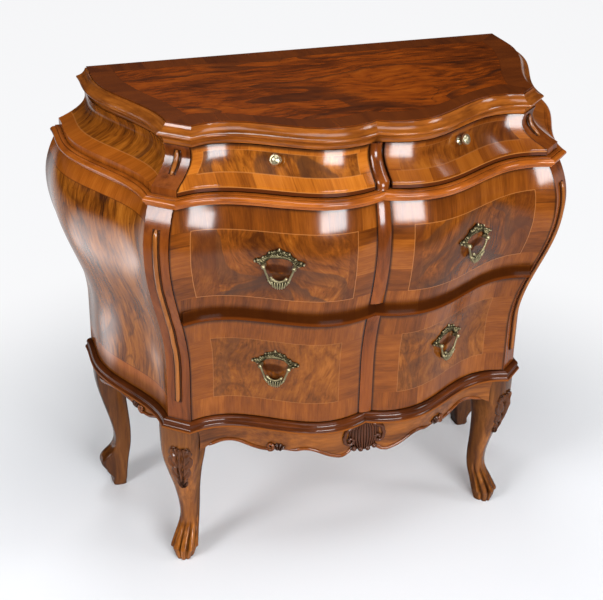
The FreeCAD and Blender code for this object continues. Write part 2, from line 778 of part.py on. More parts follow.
frieze_low = neck_z + s.drawer_gap
frieze_high = top_z - s.drawer_gap
right_face = frieze_front(frieze_low, frieze_high)
right_space = frieze_space(neck_z, top_z)
FRIEZE_INNER = "Sizes.divider_half + Sizes.guide_gap"
FRIEZE_SPAN = {
    "left": ("-Sizes.frieze_box_outer", f"-({FRIEZE_INNER})", mirrored),
    "right": (FRIEZE_INNER, "Sizes.frieze_box_outer", lambda shape: shape),
}
for hand, (box_left, box_right, turned_to) in FRIEZE_SPAN.items():
    drawer = f"frieze_drawer_{hand}"
    face = turned_to(right_face).cut(post_hole(knob_seats[hand]))
    front_part = add_part(f"{drawer}_front", one_solid(face))
    space = doc.addObject("Part::Feature", f"{drawer}_front_space")
    space.Shape = turned_to(right_space)
    drawer_box(drawer, box_left, box_right, f"{NECK_Z} + Sizes.slide_gap",
               f"{TOP_Z} - Sizes.frieze_head_room", space)
    knob(f"{drawer}_knob", knob_seats[hand], front_part)

# Divider between the frieze drawers, with a bead on its front edge


def neck_divider():
    rear = back_y - s.back_thickness
    edge = [front_point(ledge, 0, neck_z), front_point(ledge, 0, cove_z)]
    cove = [front_point(neck_level(z), 0, z) for z in spaced(cove_z, top_z)]
    head, foot = Vector(0, rear, top_z), Vector(0, rear, neck_z)
    wire = closed_wire(edge, cove, [cove[-1], head], [head, foot], [foot, edge[0]])
    board = Part.Face(wire).extrude(Vector(2 * s.divider_half, 0, 0))
    board.translate(Vector(-s.divider_half, 0, 0))
    wires = []
    for z in spaced(neck_z, top_z):
        crease = front_point(neck_level(z), 0, z).y
        wires.append(bead_section(s.bead_half, crease - s.bead_edge, crease - s.neck_bead_proud,
                                  crease + s.bead_seat, z))
    return one_solid(board.fuse(loft(wires)))


add_part("neck_divider", neck_divider())

# Raised beads on the canted corners


def corner_rib(level_at, heights, half, proud):
    """Half-round rib up the middle of the right cant."""
    wires = []
    for z in heights:
        start = front_point(level_at(z), 1, z)
        across = side_point(level_at(z), 0, z) - start
        middle = start + across * 0.5
        across.normalize()
        outward = Vector(across.y, -across.x, 0)
        seat = middle + outward * s.glue_gap
        left, right = seat - across * half, seat + across * half
        bow = Part.Arc(left, seat + outward * proud, right).toShape()
        wires.append(Part.Wire([bow, Part.makeLine(right, left)]))
    return loft(wires)


rib_heights = spaced(floor_z + s.post_bead_margin, waist_z - s.post_bead_margin, 2 * PROFILE_STEPS)
post_rib = corner_rib(body_level, rib_heights, s.post_bead_half, s.post_bead_proud)
pellet_low = cove_top_z - 0.75 * s.pellet_length
pellet_heights = spaced(pellet_low, pellet_low + s.pellet_length)
pellet = corner_rib(neck_level, pellet_heights, s.pellet_half, s.pellet_half)
ribs = [post_rib, pellet]
add_part("corner_beads", Part.makeCompound(ribs + [mirrored(rib) for rib in ribs]))

# Guides that keep the drawer boxes straight


def guide_pair(name, half_width, z):
    depth = "Sizes.body_depth - Sizes.cant_depth - Sizes.body_wall - Sizes.back_thickness - Sizes.guide_height"
    y = f"{BACK_Y} - Sizes.back_thickness - ({depth})"
    inner = f"{half_width} + Sizes.guide_gap"
    right = box(f"{name}_right", "Sizes.guide_width", depth, "Sizes.guide_height", inner, y, z)
    left = box(f"{name}_left", "Sizes.guide_width", depth, "Sizes.guide_height",
               f"-({inner}) - Sizes.guide_width", y, z)
    return [right, left]


guides = doc.addObject("Part::Compound", "drawer_guides")
guides.Links = (
    guide_pair("lower_guide", "Sizes.box_half_width", FLOOR_Z)
    + guide_pair("upper_guide", "Sizes.box_half_width", DUST_TOP)
    + guide_pair("frieze_guide", "Sizes.frieze_box_outer", NECK_Z)
)
parts["drawer_guides"] = guides

# Legs


def leg_ring(centre, outward, half_across, half_out, power, z):
    """Closed section of a leg, between a circle (power 2) and a square."""
    across = Vector(-outward.y, outward.x, 0)
    points = []
    for step in range(16):
        turn = 2 * math.pi * step / 16
        reach = (abs(math.cos(turn)) ** power + abs(math.sin(turn)) ** power) ** (-1 / power)
        offset = outward * (half_out * reach * math.cos(turn)) + across * (half_across * reach * math.sin(turn))
        points.append(Vector(centre.x + offset.x, centre.y + offset.y, z))
    ring = Part.BSplineCurve()
    ring.interpolate(points, True)
    return Part.Wire(ring.toShape())


def leg(form, base, outward, width_across, squareness):
    """Leg through even rings, its form eased between the given heights."""
    ease = Part.BSplineCurve()
    ease.interpolate(Points=[Vector(*row[1:]) for row in form], Parameters=[row[0] for row in form])
    rings = []
    for height in spaced(0, 1, LEG_RINGS):
        out, across, half_out = ease.value(height)
        centre = base + outward * (out * s.leg_width)
        rings.append(leg_ring(centre, outward, across * width_across, half_out * s.leg_width, squareness,
                              height * s.leg_height))
    return loft(rings)


turn = math.radians(s.leg_turn)
front_leg = leg(FRONT_LEG_FORM, Vector(s.front_leg_x, back_y - s.front_leg_depth, 0),
                Vector(math.sin(turn), -math.cos(turn), 0), s.leg_width, FRONT_LEG_SQUARENESS)
back_leg = leg(BACK_LEG_FORM, Vector(s.back_leg_x, back_y - s.back_leg_depth, 0), Vector(1, 0, 0),
               s.back_leg_thickness, BACK_LEG_SQUARENESS)
add_part("leg_front_right", front_leg)
add_part("leg_front_left", mirrored(front_leg))
add_part("leg_back_right", back_leg)
add_part("leg_back_left", mirrored(back_leg))

# Aprons between the legs, and the carved shell on the front one


def apron_strip(plan_point, edge, height):
    """Strip under the base whose lower edge rises and falls along the plan."""
    face = grown(slim, -s.apron_inset)
    rear = grown(slim, -s.apron_inset - s.apron_thickness)
    wires = []
    for place, drop in edge:
        low = base_z - height * drop
        corners = [plan_point(level, place, z) for level, z in
                   ((face, low), (face, base_z), (rear, base_z), (rear, low))]
        wires.append(Part.makePolygon(corners + corners[:1]))
    return loft(wires)


half_apron = apron_strip(front_point, FRONT_APRON_EDGE, s.apron_height)
front_apron = one_solid(half_apron.fuse(mirrored(half_apron)).cut([front_leg, mirrored(front_leg)]))
add_part("front_apron", front_apron)
side_apron = one_solid(apron_strip(side_point, SIDE_APRON_EDGE, s.side_apron_height).cut([front_leg, back_leg]))
add_part("side_apron_right", side_apron)
add_part("side_apron_left", mirrored(side_apron))

rail = Part.makeBox(2 * s.back_leg_x, s.apron_thickness, s.back_rail_height,
                    Vector(-s.back_leg_x, back_y - s.back_leg_depth - s.apron_thickness / 2,
                           base_z - s.back_rail_height))
add_part("back_rail", one_solid(rail.cut([back_leg, mirrored(back_leg)])))

# Shell form as shares: drop below the base, half width, how far it stands out
SHELL_FORM = ((0.02, 0.7, 0.55), (0.22, 0.95, 0.9), (0.42, 1.0, 1.0), (0.62, 0.86, 0.85), (0.8, 0.5, 0.5))


def apron_shell():
    face = grown(slim, -s.apron_inset)
    wires = []
    for drop, half, proud in SHELL_FORM:
        z = base_z - drop * s.apron_height
        x = half * s.shell_half
        edge = front_point(face, x / face.edge, z).y - s.bead_edge
        wires.append(bead_section(x, edge, edge - proud * s.shell_proud, edge + s.apron_thickness, z))
    return one_solid(loft(wires[::-1]).cut(front_apron))


add_part("apron_shell", apron_shell())

# Checks, then one file for each sub-part

doc.recompute()
for item in doc.Objects:
    if "Invalid" in item.State or "Error" in item.State:
        raise RuntimeError(f"{item.Label} failed to build")
for name, part in parts.items():
    if part.Shape.isNull() or not part.Shape.isValid():
        raise RuntimeError(f"{name} has no valid shape")
os.makedirs("parts", exist_ok=True)
for name, part in parts.items():
    part.Shape.exportStep(f"parts/{name}.step")
print(len(parts), "sub-parts")
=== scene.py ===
"""Bombe chest: veneered walnut case, carved stand and brass handles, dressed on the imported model."""
from math import atan2, copysign, cos, degrees, exp, pi, radians, sin, sqrt, tau

import bpy
from mathutils import Matrix, Vector


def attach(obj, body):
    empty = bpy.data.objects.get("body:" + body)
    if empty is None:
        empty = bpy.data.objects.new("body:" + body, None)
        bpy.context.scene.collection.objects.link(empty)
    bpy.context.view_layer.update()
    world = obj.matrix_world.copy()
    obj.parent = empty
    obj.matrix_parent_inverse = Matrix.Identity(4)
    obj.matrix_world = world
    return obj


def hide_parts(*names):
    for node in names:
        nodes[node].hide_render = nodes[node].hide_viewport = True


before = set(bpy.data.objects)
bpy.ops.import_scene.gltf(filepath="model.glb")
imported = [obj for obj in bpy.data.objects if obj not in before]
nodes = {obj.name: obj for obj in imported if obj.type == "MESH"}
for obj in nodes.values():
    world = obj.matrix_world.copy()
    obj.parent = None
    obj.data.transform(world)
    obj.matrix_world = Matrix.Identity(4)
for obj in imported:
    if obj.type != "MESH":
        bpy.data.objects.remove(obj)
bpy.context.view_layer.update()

# Measures of the case that the veneers follow, in metres
FLOOR_Z, HOLLOW_Z, MID_Z, BELLY_Z, WAIST_Z = 0.318, 0.412, 0.521, 0.66, 0.734
NECK_Z, LEDGE_Z, SLIM_Z, TOP_Z = 0.75, 0.762, 0.8, 0.816
SLIM_EDGE, EDGE_SWELL, SHOULDER = 0.2965, 0.0409, 0.347
NECK_EDGE, LEDGE_EDGE, TOP_FLARE = 0.2854, 0.3176, 0.08
BACK_Y = 0.227


def body_edge(z):
    """Half width of the long drawers' fronts at a height: slim at the foot, widest at the belly."""
    swell = 0.0
    if z >= BELLY_Z:
        swell = 1 - SHOULDER * ((z - BELLY_Z) / (WAIST_Z - BELLY_Z)) ** 2
    elif z >= HOLLOW_Z:
        swell = (1 - cos(pi * (z - HOLLOW_Z) / (BELLY_Z - HOLLOW_Z))) / 2
    return SLIM_EDGE + EDGE_SWELL * swell


def neck_edge(z):
    """Half width of the frieze fronts at a height: widest on the ledge, slimmest under the top."""
    flare = 1.0
    if z >= SLIM_Z:
        flare = TOP_FLARE * ((z - SLIM_Z) / (TOP_Z - SLIM_Z)) ** 2
    elif z >= LEDGE_Z:
        flare = ((SLIM_Z - z) / (SLIM_Z - LEDGE_Z)) ** 2
    return NECK_EDGE + (LEDGE_EDGE - NECK_EDGE) * flare


def shades(*thousandths):
    """Colours in a row, three parts each, given in thousandths."""
    parts = [part / 1000 for part in thousandths]
    return tuple(tuple(parts[at:at + 3]) for at in range(0, len(parts), 3))


def millimetres(*rows):
    """Rows of measures given in millimetres, as metres."""
    return tuple(tuple(measure / 1000 for measure in row) for row in rows)


BODY_LINE = (body_edge, FLOOR_Z, WAIST_Z)
NECK_LINE = (neck_edge, NECK_Z, TOP_Z)

# Shader nodes


class Graph:
    """Shader nodes of one tree, added one after another."""

    def __init__(self, tree, coordinates="Object"):
        self.tree = tree
        self.place = self.put("ShaderNodeTexCoord", {}, coordinates)
        self.x, self.y, self.z = self.split(self.place)

    def feed(self, socket, value):
        """Links a socket to a socket, or sets its value."""
        if isinstance(value, bpy.types.NodeSocket):
            self.tree.links.new(value, socket)
        else:
            socket.default_value = value

    def put(self, kind, inputs, output=0, **settings):
        """Adds a node with its settings, feeds its inputs and gives one output."""
        node = self.tree.nodes.new(kind)
        for key, value in settings.items():
            setattr(node, key, value)
        for key, value in inputs.items():
            self.feed(node.inputs[key], value)
        return node.outputs[output]

    def split(self, vector):
        node = self.tree.nodes.new("ShaderNodeSeparateXYZ")
        self.feed(node.inputs[0], vector)
        return node.outputs

    def calc(self, operation, *values):
        return self.put("ShaderNodeMath", dict(enumerate(values)), operation=operation)

    def times(self, first, second):
        return self.calc("MULTIPLY", first, second)

    def less(self, first, second):
        return self.calc("SUBTRACT", first, second)

    def least(self, first, second):
        return self.calc("MINIMUM", first, second)

    def near(self, value, half):
        """1 where the value is closer to 0 than half."""
        return self.calc("LESS_THAN", self.calc("ABSOLUTE", value), half)

    def total(self, *weighted):
        """Sum of (value, weight) pairs."""
        result = 0.0
        for value, weight in weighted:
            result = self.calc("MULTIPLY_ADD", value, weight, result)
        return result

    def vector(self, operation, *values, output="Vector"):
        return self.put("ShaderNodeVectorMath", dict(enumerate(values)), output, operation=operation)

    def joined(self, x, y, z):
        return self.put("ShaderNodeCombineXYZ", {"X": x, "Y": y, "Z": z})

    def stretched(self, vector, scale, shift=(0, 0, 0)):
        return self.put("ShaderNodeMapping", {"Vector": vector, "Scale": scale, "Location": shift})

    def noise(self, vector, scale=1.0, detail=4.0, roughness=0.55, distortion=0.0, output="Fac"):
        inputs = {"Vector": vector, "Scale": scale, "Detail": detail, "Roughness": roughness}
        return self.put("ShaderNodeTexNoise", {**inputs, "Distortion": distortion}, output)

    def fibres(self, vector, scale, detail, roughness, shift=(0, 0, 0), distortion=0.0):
        """Noise drawn out along some axes."""
        return self.noise(self.stretched(vector, scale, shift), 1.0, detail, roughness, distortion)

    def swirled(self, vector, scale, reach, detail=2.0):
        """The vector pushed about by a soft cloud."""
        cloud = self.noise(vector, scale, detail, 0.5, output="Color")
        centred = self.vector("SUBTRACT", cloud, (0.5, 0.5, 0.5))
        return self.vector("MULTIPLY_ADD", centred, (reach, reach, reach), vector)

    def flattened(self, share, lift):
        """The surface direction with a share of its own upward lean and an even lift."""
        normal = self.put("ShaderNodeNewGeometry", {}, "Normal")
        level = self.vector("NORMALIZE", self.vector("MULTIPLY", normal, (1, 1, 0)))
        leaning = self.vector("MULTIPLY_ADD", normal, (0, 0, share), level)
        return self.vector("NORMALIZE", self.vector("ADD", leaning, (0, 0, lift)))

    def ramp(self, share, positions, colours):
        node = self.tree.nodes.new("ShaderNodeValToRGB")
        stops = node.color_ramp.elements
        for index, (position, colour) in enumerate(zip(positions, colours)):
            stop = stops[index] if index < 2 else stops.new(position)
            stop.position = position
            stop.color = (*colour, 1)
        self.feed(node.inputs["Fac"], share)
        return node.outputs["Color"]

    def spread(self, value, low, high, to_low=0.0, to_high=1.0, kind="LINEAR"):
        """The value carried from one range to another and kept within it."""
        ends = {"From Min": low, "From Max": high, "To Min": to_low, "To Max": to_high}
        return self.put("ShaderNodeMapRange", {"Value": value, **ends}, interpolation_type=kind)

    def eased(self, value, low, high, to_low=0.0, to_high=1.0):
        """A spread that starts and ends softly."""
        return self.spread(value, low, high, to_low, to_high, "SMOOTHSTEP")

    def faded(self, value, low, high):
        """1 below low, 0 above high, smooth between."""
        return self.less(1.0, self.eased(value, low, high))

    def crested(self, value, first, crest, last):
        """0 up to first, 1 at the crest, 0 from last on."""
        return self.less(self.eased(value, first, crest), self.eased(value, crest, last))

    def mixed(self, share, first, second, amount=1.0):
        """The first colour turned to the second by a share, or by an amount of that share."""
        if amount < 1.0:
            share = self.times(share, amount)
        pair = [(*value, 1) if isinstance(value, tuple) else value for value in (first, second)]
        return self.put("ShaderNodeMix", {0: share, 6: pair[0], 7: pair[1]}, 2, data_type="RGBA")

    def curve(self, value, points, low, high):
        """A drawn curve: points give the answer along the value's own measure."""
        node = self.tree.nodes.new("ShaderNodeFloatCurve")
        line = node.mapping.curves[0]
        answers = [answer for _, answer in points]
        bottom, top = min(answers), max(answers)
        for index, (at, answer) in enumerate(points):
            spot = ((at - low) / (high - low), (answer - bottom) / (top - bottom))
            if index < 2:
                line.points[index].location = spot
            else:
                line.points.new(*spot)
        node.mapping.update()
        self.feed(node.inputs["Value"], self.spread(value, low, high))
        return self.spread(node.outputs[0], 0, 1, bottom, top)

    def outline(self, reach, low, high):
        """Reach of an outline at each height, from a function of the height."""
        heights = [low + (high - low) * step / 14 for step in range(15)]
        return self.curve(self.z, [(z, reach(z)) for z in heights], low, high)

    def openness(self, distance, low, high):
        """0 in tight corners, 1 on open faces."""
        free = self.put("ShaderNodeAmbientOcclusion", {"Distance": distance}, "AO", samples=6)
        return self.eased(free, low, high)


class Recipe(Graph):
    """Shader nodes of one finish."""

    def __init__(self, name):
        self.material = bpy.data.materials.new(name)
        self.material.use_nodes = True
        super().__init__(self.material.node_tree)
        self.shader = self.tree.nodes["Principled BSDF"]

    def paint(self, name, value):
        self.feed(self.shader.inputs[name], value)

    def bump(self, height, strength, distance):
        relief = {"Height": height, "Strength": strength, "Distance": distance}
        self.paint("Normal", self.put("ShaderNodeBump", relief))


# Wood finishes

RUSSET = (0.215, 0.046, 0.006)
UMBER = (0.092, 0.021, 0.0045)
SMOKE = (0.06, 0.023, 0.0105)
STRING = (0.55, 0.21, 0.05)
# DEEP: the darkest tone, used for painted shade in corners, gaps and on the legs, and for the darker foot
# of the sides
DEEP = (0.022, 0.0075, 0.003)
# Colour of the painted shadow under each handle
CREST_SHADOW = (0.036, 0.0085, 0.0024)
FOOT_SHADE = (0.036, 0.008, 0.0015)
RIGHT_SHADE = (0.105, 0.0215, 0.0026)
LIP_HIGHLIGHT = (0.3, 0.085, 0.012)
TOP_VEIN = (0.03, 0.01, 0.004)
# Tones of each wood, dark to light
PANEL_TONES = shades(64, 15.5, 2.8, 132, 33, 4, 208, 54.5, 5.6, 320, 97, 11.5)
LOWER_TONES = shades(78, 20.5, 3.4, 152, 40.5, 4.6, 226, 64, 6.6, 330, 106, 13)
SIDE_TONES = shades(50, 13, 2.8, 190, 50, 5.2, 345, 100, 9.2, 510, 168, 19)
BRIGHT_TONES = shades(150, 37, 4.5, 310, 82, 7.5, 450, 128, 11.5, 560, 180, 20)
EDGE_TONES = shades(120, 26.5, 3.6, 245, 58, 5.6, 360, 90, 8.2, 470, 132, 14)
BAND_TONES = shades(78, 18.5, 3, 150, 36.5, 4.2, 222, 57.5, 5.8, 320, 92.5, 10.8)
TOP_TONES = shades(56, 11.2, 1.2, 152, 27.2, 1.5, 290, 53, 2.2, 440, 95, 5)
RIM_TONES = shades(80, 16.5, 2.6, 115, 24, 3, 150, 31.5, 3.6, 190, 41, 4.4)
MOULDING_TONES = shades(85, 21.5, 4.2, 190, 49, 6.2, 300, 83, 10, 450, 142, 23)
WAIST_TONES = shades(130, 30, 4.6, 270, 64, 6.6, 400, 101, 10, 500, 150, 26)
BASE_TONES = shades(36, 8.8, 2.4, 60, 14, 3.2, 95, 22, 4.2, 155, 36, 5.6)
POST_TONES = shades(70, 16.5, 3.6, 155, 35, 5, 215, 52, 7, 290, 72, 9)
APRON_TONES = shades(60, 16.5, 3.8, 145, 40, 5.8, 245, 72, 9, 380, 124, 18)
LEG_TONES = shades(56, 15.5, 3.6, 155, 44, 6.6, 310, 96, 12.2, 520, 176, 27)
LEAF_TONES = shades(44, 15.5, 6.2, 78, 25, 8.4, 120, 36.5, 10.5, 190, 58, 15)
DARK_TONES = shades(34, 12.5, 6.5, 58, 19, 8.5, 88, 26, 9.5, 140, 38, 11)
RUN_TONES = shades(70, 18, 4.2, 130, 33, 5.8, 200, 52, 8, 320, 92, 15)
BEAD_TONES = shades(150, 43, 8, 240, 73, 12.5, 340, 110, 19, 480, 170, 38)
GROOVE_SHADE_TONES = shades(30, 9.5, 4, 44, 13.5, 5.2, 58, 17, 6, 80, 22, 7)
PINE_TONES = shades(260, 145, 63, 400, 240, 115, 500, 320, 170)

COAT_ROUGHNESS, COAT_IOR = 0.155, 1.5
# Shift, level and fade of the two kinds of dark vein
VEINS = (((3.1, 1.7, 0.0), 0.5, 0.085), ((8.3, 5.2, 0.0), 0.56, 0.05))


def polish(wood, colour, pores, gloss=(0.3, 0.46), coat=1.0, corners=0.011):
    """Rubbed lacquer: an even clear coat over duller grain, with painted shade darkening it in corners and
    crevices.
    """
    # Painted shade: the colour turns towards DEEP where ambient occlusion finds corners and crevices
    wood.paint("Base Color", wood.mixed(wood.openness(corners, 0.12, 0.8), DEEP, colour))
    wood.paint("Roughness", wood.spread(wood.noise(wood.place, 14.0, 3.0), 0.3, 0.7, *gloss))
    wood.paint("Specular IOR Level", 0.0)
    wood.paint("Coat Weight", coat)
    wood.paint("Coat Roughness", COAT_ROUGHNESS)
    wood.paint("Coat IOR", COAT_IOR)
    wood.bump(pores, 0.1, 0.0003)
    return wood.material


def figured(wood, across, along, seed, swirl, tones, dark=SMOKE, smoke=0.6, grain=(11.0, 8.0)):
    """Figured walnut: mottle, dark veins with one sharp edge, thin lines, specks and short fibres."""
    leaf = wood.stretched(wood.joined(across, along, 0.0), (1, 1, 1), seed)
    flow = wood.swirled(wood.swirled(leaf, 4.2, swirl), 24.0, 0.012, 3.0)
    wide, tall = grain
    cloud = wood.fibres(flow, (wide, tall, 1.0), 6.0, 0.62)
    mottle = wood.fibres(flow, (7 * wide, 5 * tall, 1.0), 4.0, 0.6, (1.3, 0.4, 0.0))
    fibre = wood.fibres(flow, (26 * wide, 5 * tall, 1.0), 4.0, 0.65)
    tone = wood.total((cloud, 0.44), (mottle, 0.34), (fibre, 0.22))
    colour = wood.ramp(tone, (0.385, 0.465, 0.535, 0.63), tones)
    for shift, level, fade in VEINS:
        patch = wood.fibres(flow, (0.4 * wide, 0.4 * tall, 1.0), 2.0, 0.4, shift)
        vein = wood.crested(patch, level, level + 0.006, level + fade)
        colour = wood.mixed(vein, colour, dark, smoke)
        line = wood.crested(patch, level - 0.045, level - 0.041, level - 0.034)
        colour = wood.mixed(line, colour, tones[0], 0.4)
    specks = wood.eased(wood.noise(leaf, 130.0, 2.0, 0.5), 0.65, 0.73)
    return wood.mixed(specks, colour, tones[0], 0.45), fibre


def crossbanding(wood, across, along, seed, tones=BAND_TONES, leaf_width=0.055):
    """Short-grained border veneer: streaks across the border, laid in leaves of differing tone."""
    count = wood.calc("DIVIDE", wood.calc("ADD", across, seed), leaf_width)
    number = wood.calc("FLOOR", count)
    leaf = wood.put("ShaderNodeTexWhiteNoise", {"W": number}, "Value", noise_dimensions="1D")
    joint = wood.calc("LESS_THAN", wood.calc("FRACT", count), 0.014)
    spot = wood.joined(across, along, seed)
    streaks = wood.fibres(spot, (420.0, 22.0, 1.0), 5.0, 0.66)
    soft = wood.fibres(spot, (60.0, 14.0, 1.0), 4.0, 0.6)
    tone = wood.total((streaks, 0.36), (soft, 0.44), (leaf, 0.2))
    colour = wood.ramp(tone, (0.3, 0.44, 0.57, 0.72), tones)
    return wood.mixed(joint, colour, tones[0], 0.45)


def inlaid(wood, room, border, panel, half, amount, tint):
    """Panel where there is room, border elsewhere, and a thin line where they meet."""
    colour = wood.mixed(wood.calc("GREATER_THAN", room, 0.0), border, panel)
    return wood.mixed(wood.near(room, half), colour, tint, amount)


def banded_front(name, low, high, edge, inner, widths, seed, swirl, string, tones, bands=BAND_TONES,
                 smoke=0.6, top_shade_scale=0.6, dark_foot=0.0, step=0.0, seat=None, leaves=()):
    """Drawer front: figured panels in a string line and a crossbanded border, with painted shade along its
    edges and under its handles, and on the lip at its foot and below the step where these are given.
    """
    wood = Recipe(name)
    offset = wood.calc("ABSOLUTE", wood.x)
    side_width, low_width, high_width = widths
    from_edge = wood.less(wood.outline(*edge), offset)
    from_side = wood.least(from_edge, wood.less(offset, inner))
    from_low = wood.less(wood.z, low)
    from_high = wood.less(high, wood.z)
    level_room = wood.least(wood.less(from_low, low_width), wood.less(from_high, high_width))
    room = wood.least(wood.less(from_side, side_width), level_room)
    panel, fibre = figured(wood, wood.x, wood.z, seed, swirl, tones, SMOKE, smoke)
    if leaves:
        span = wood.calc("ABSOLUTE", wood.less(offset, seat[0]))
        wave = wood.noise(wood.place, 26.0, 3.0)
        fold = wood.total((wood.z, 1.0), (span, 0.7), (wave, 0.03))
        smoky = wood.crested(wood.less(fold, seat[1] + 0.003), -0.03, 0.0, 0.005)
        panel = wood.mixed(smoky, panel, SMOKE, 0.75)
        rooms = (wood.less(from_edge, side_width), wood.less(offset, inner + side_width))
        for side_room, width in zip(rooms, leaves):
            panel = wood.mixed(wood.calc("LESS_THAN", side_room, width), panel, UMBER, 0.5)
    upright = crossbanding(wood, wood.x, wood.z, seed[0], bands)
    level = crossbanding(wood, wood.z, offset, seed[1], bands)
    border = wood.mixed(wood.calc("GREATER_THAN", level_room, 0.0), upright, level)
    colour = inlaid(wood, room, border, panel, 0.0006, string, STRING)
    coat = 1.0
    if seat:
        # Painted shadow of the handle crest: a dark oval under each handle, with a thinner coat
        wide = wood.calc("DIVIDE", wood.less(offset, seat[0]), 0.02)
        tall = wood.calc("DIVIDE", wood.less(wood.z, seat[1] - 0.006), 0.0085)
        crest_shadow = wood.faded(wood.calc("ADD", wood.times(wide, wide), wood.times(tall, tall)), 0.35, 1.25)
        colour = wood.mixed(crest_shadow, colour, CREST_SHADOW, 0.8)
        coat = wood.spread(crest_shadow, 0.0, 1.0, 1.0, 0.2)
    # Painted shade along the edges, in the gaps beside the front and under the part above it;
    # top_shade_scale widens it along the top
    edge_shade = wood.faded(wood.least(from_side, wood.times(from_high, top_shade_scale)), 0.0018, 0.0055)
    colour = wood.mixed(edge_shade, colour, DEEP, 0.85)
    if dark_foot:
        # Painted shade in the cove of the lip at the foot, eased back to a lighter rim along the bottom
        # edge, with its coat thinned
        shade = wood.faded(from_low, 0.5 * dark_foot, 1.05 * dark_foot)
        colour = wood.mixed(shade, colour, FOOT_SHADE, 0.94)
        colour = wood.mixed(wood.faded(from_low, 0.005, 0.0085), colour, RUSSET, 0.38)
        coat = wood.times(coat, wood.spread(shade, 0.0, 0.8, 1.0, 0.03))
    if step:
        colour = wood.mixed(wood.calc("GREATER_THAN", wood.x, 0.0), colour, RIGHT_SHADE, 0.5)
        # Painted shade on the face below the step and a painted highlight along its edge in the string
        # colour; the coat is thinned below it
        colour = wood.mixed(wood.calc("LESS_THAN", from_low, step), colour, UMBER)
        colour = wood.mixed(wood.near(wood.less(from_low, step), 0.0008), colour, STRING, 0.6)
        coat = wood.spread(wood.eased(from_low, step + 0.001, step + 0.007), 0.0, 1.0, 0.04, 1.0)
        wood.paint("Coat Normal", wood.flattened(0.3, 0.27))
    return polish(wood, colour, fibre, coat=coat)


def straight_walnut(name, tones, long_axis="z", coat=1.0, gloss=(0.3, 0.46), corners=0.011, lean=None,
                    shades=(), inward=0.0):
    """Straight grain along one axis, with painted shade by (axis, first, last, amount) and on faces turned
    inward.
    """
    wood = Recipe(name)
    scale = [120.0, 120.0, 120.0]
    scale["xyz".index(long_axis)] = 7.0
    flow = wood.swirled(wood.place, 9.0, 0.02)
    fibre = wood.fibres(flow, scale, 5.0, 0.66)
    broad = wood.fibres(flow, [value * 0.2 for value in scale], 3.0, 0.55)
    colour = wood.ramp(wood.total((fibre, 0.45), (broad, 0.55)), (0.34, 0.45, 0.56, 0.7), tones)
    # Painted shade: darker towards one end of an axis
    for axis, first, last, amount in shades:
        colour = wood.mixed(wood.eased(getattr(wood, axis), first, last), colour, DEEP, amount)
    if inward:
        # Painted shade on faces turned towards the middle of the chest, with a thinner coat there
        facing = wood.split(wood.put("ShaderNodeNewGeometry", {}, "Normal"))
        outward = wood.times(facing["X"], wood.calc("SIGN", wood.x))
        shaded_inner_face = wood.faded(outward, -0.85, -0.35)
        colour = wood.mixed(shaded_inner_face, colour, DEEP, inward)
        coat = wood.spread(shaded_inner_face, 0.0, 1.0, coat, 0.3 * coat)
    if lean:
        wood.paint("Coat Normal", wood.flattened(*lean))
    return polish(wood, colour, fibre, gloss, coat, corners)


def run_moulding(name, tones, lip=None):
    """Run mouldings: fibres along the run, in lighter and darker patches, with a painted highlight and a
    thinner coat below a lip height.
    """
    wood = Recipe(name)
    fibre = wood.fibres(wood.place, (16.0, 16.0, 330.0), 5.0, 0.6, distortion=0.3)
    broad = wood.fibres(wood.place, (15.0, 15.0, 60.0), 4.0, 0.6)
    colour = wood.ramp(wood.total((fibre, 0.42), (broad, 0.58)), (0.32, 0.44, 0.56, 0.7), tones)
    coat = 1.0
    if lip:
        # Painted highlight: the lip below the given height made paler, with its coat thinned
        under = wood.faded(wood.z, lip, lip + 0.0022)
        colour = wood.mixed(under, colour, LIP_HIGHLIGHT, 0.65)
        coat = wood.spread(under, 0.0, 1.0, 0.6, 0.12)
    return polish(wood, colour, fibre, (0.24, 0.36), coat)


def side_veneer():
    """Side walls: upright figured leaves, crossbanded along the top and bottom, darker at the foot."""
    wood = Recipe("side_veneer")
    panel, fibre = figured(wood, wood.y, wood.z, (0.32, 0.71, 0.0), 0.06, SIDE_TONES, UMBER, 0.75,
                           (20.0, 4.0))
    border = crossbanding(wood, wood.y, wood.z, 0.9, EDGE_TONES, 0.4)
    foot_top = FLOOR_Z + 0.04
    room = wood.least(wood.less(WAIST_Z - 0.027, wood.z), wood.less(wood.z, foot_top))
    colour = inlaid(wood, room, border, panel, 0.0008, 0.6, UMBER)
    foot = wood.faded(wood.z, FLOOR_Z + 0.008, foot_top)
    colour = wood.mixed(foot, colour, DEEP, 0.6)
    return polish(wood, colour, fibre, coat=wood.spread(foot, 0.0, 1.0, 1.0, 0.35))


def neck_veneer():
    """Neck sides: upright leaves over a short-grained band on the ledge, a thin line between them."""
    wood = Recipe("neck_veneer")
    panel, fibre = figured(wood, wood.y, wood.z, (0.11, 0.42, 0.0), 0.08, SIDE_TONES)
    border = crossbanding(wood, wood.y, wood.z, 1.3, EDGE_TONES, 0.4)
    room = wood.less(wood.z, NECK_Z + 0.022)
    return polish(wood, inlaid(wood, room, border, panel, 0.0005, 0.35, STRING), fibre)


# Outline of the top: distance from the back by half width, and half width by distance from the back
TOP_FRONT = (
    (0, 0.382), (0.03, 0.393), (0.064, 0.398), (0.1, 0.393), (0.16, 0.363), (0.21, 0.337),
    (0.258, 0.322), (0.3, 0.322), (0.33, 0.29), (0.39, 0.2))
TOP_FLANK = (
    (0, 0.385), (0.07, 0.385), (0.13, 0.372), (0.19, 0.35), (0.24, 0.33), (0.3, 0.317), (0.4, 0.317))
TOP_BORDER = 0.041


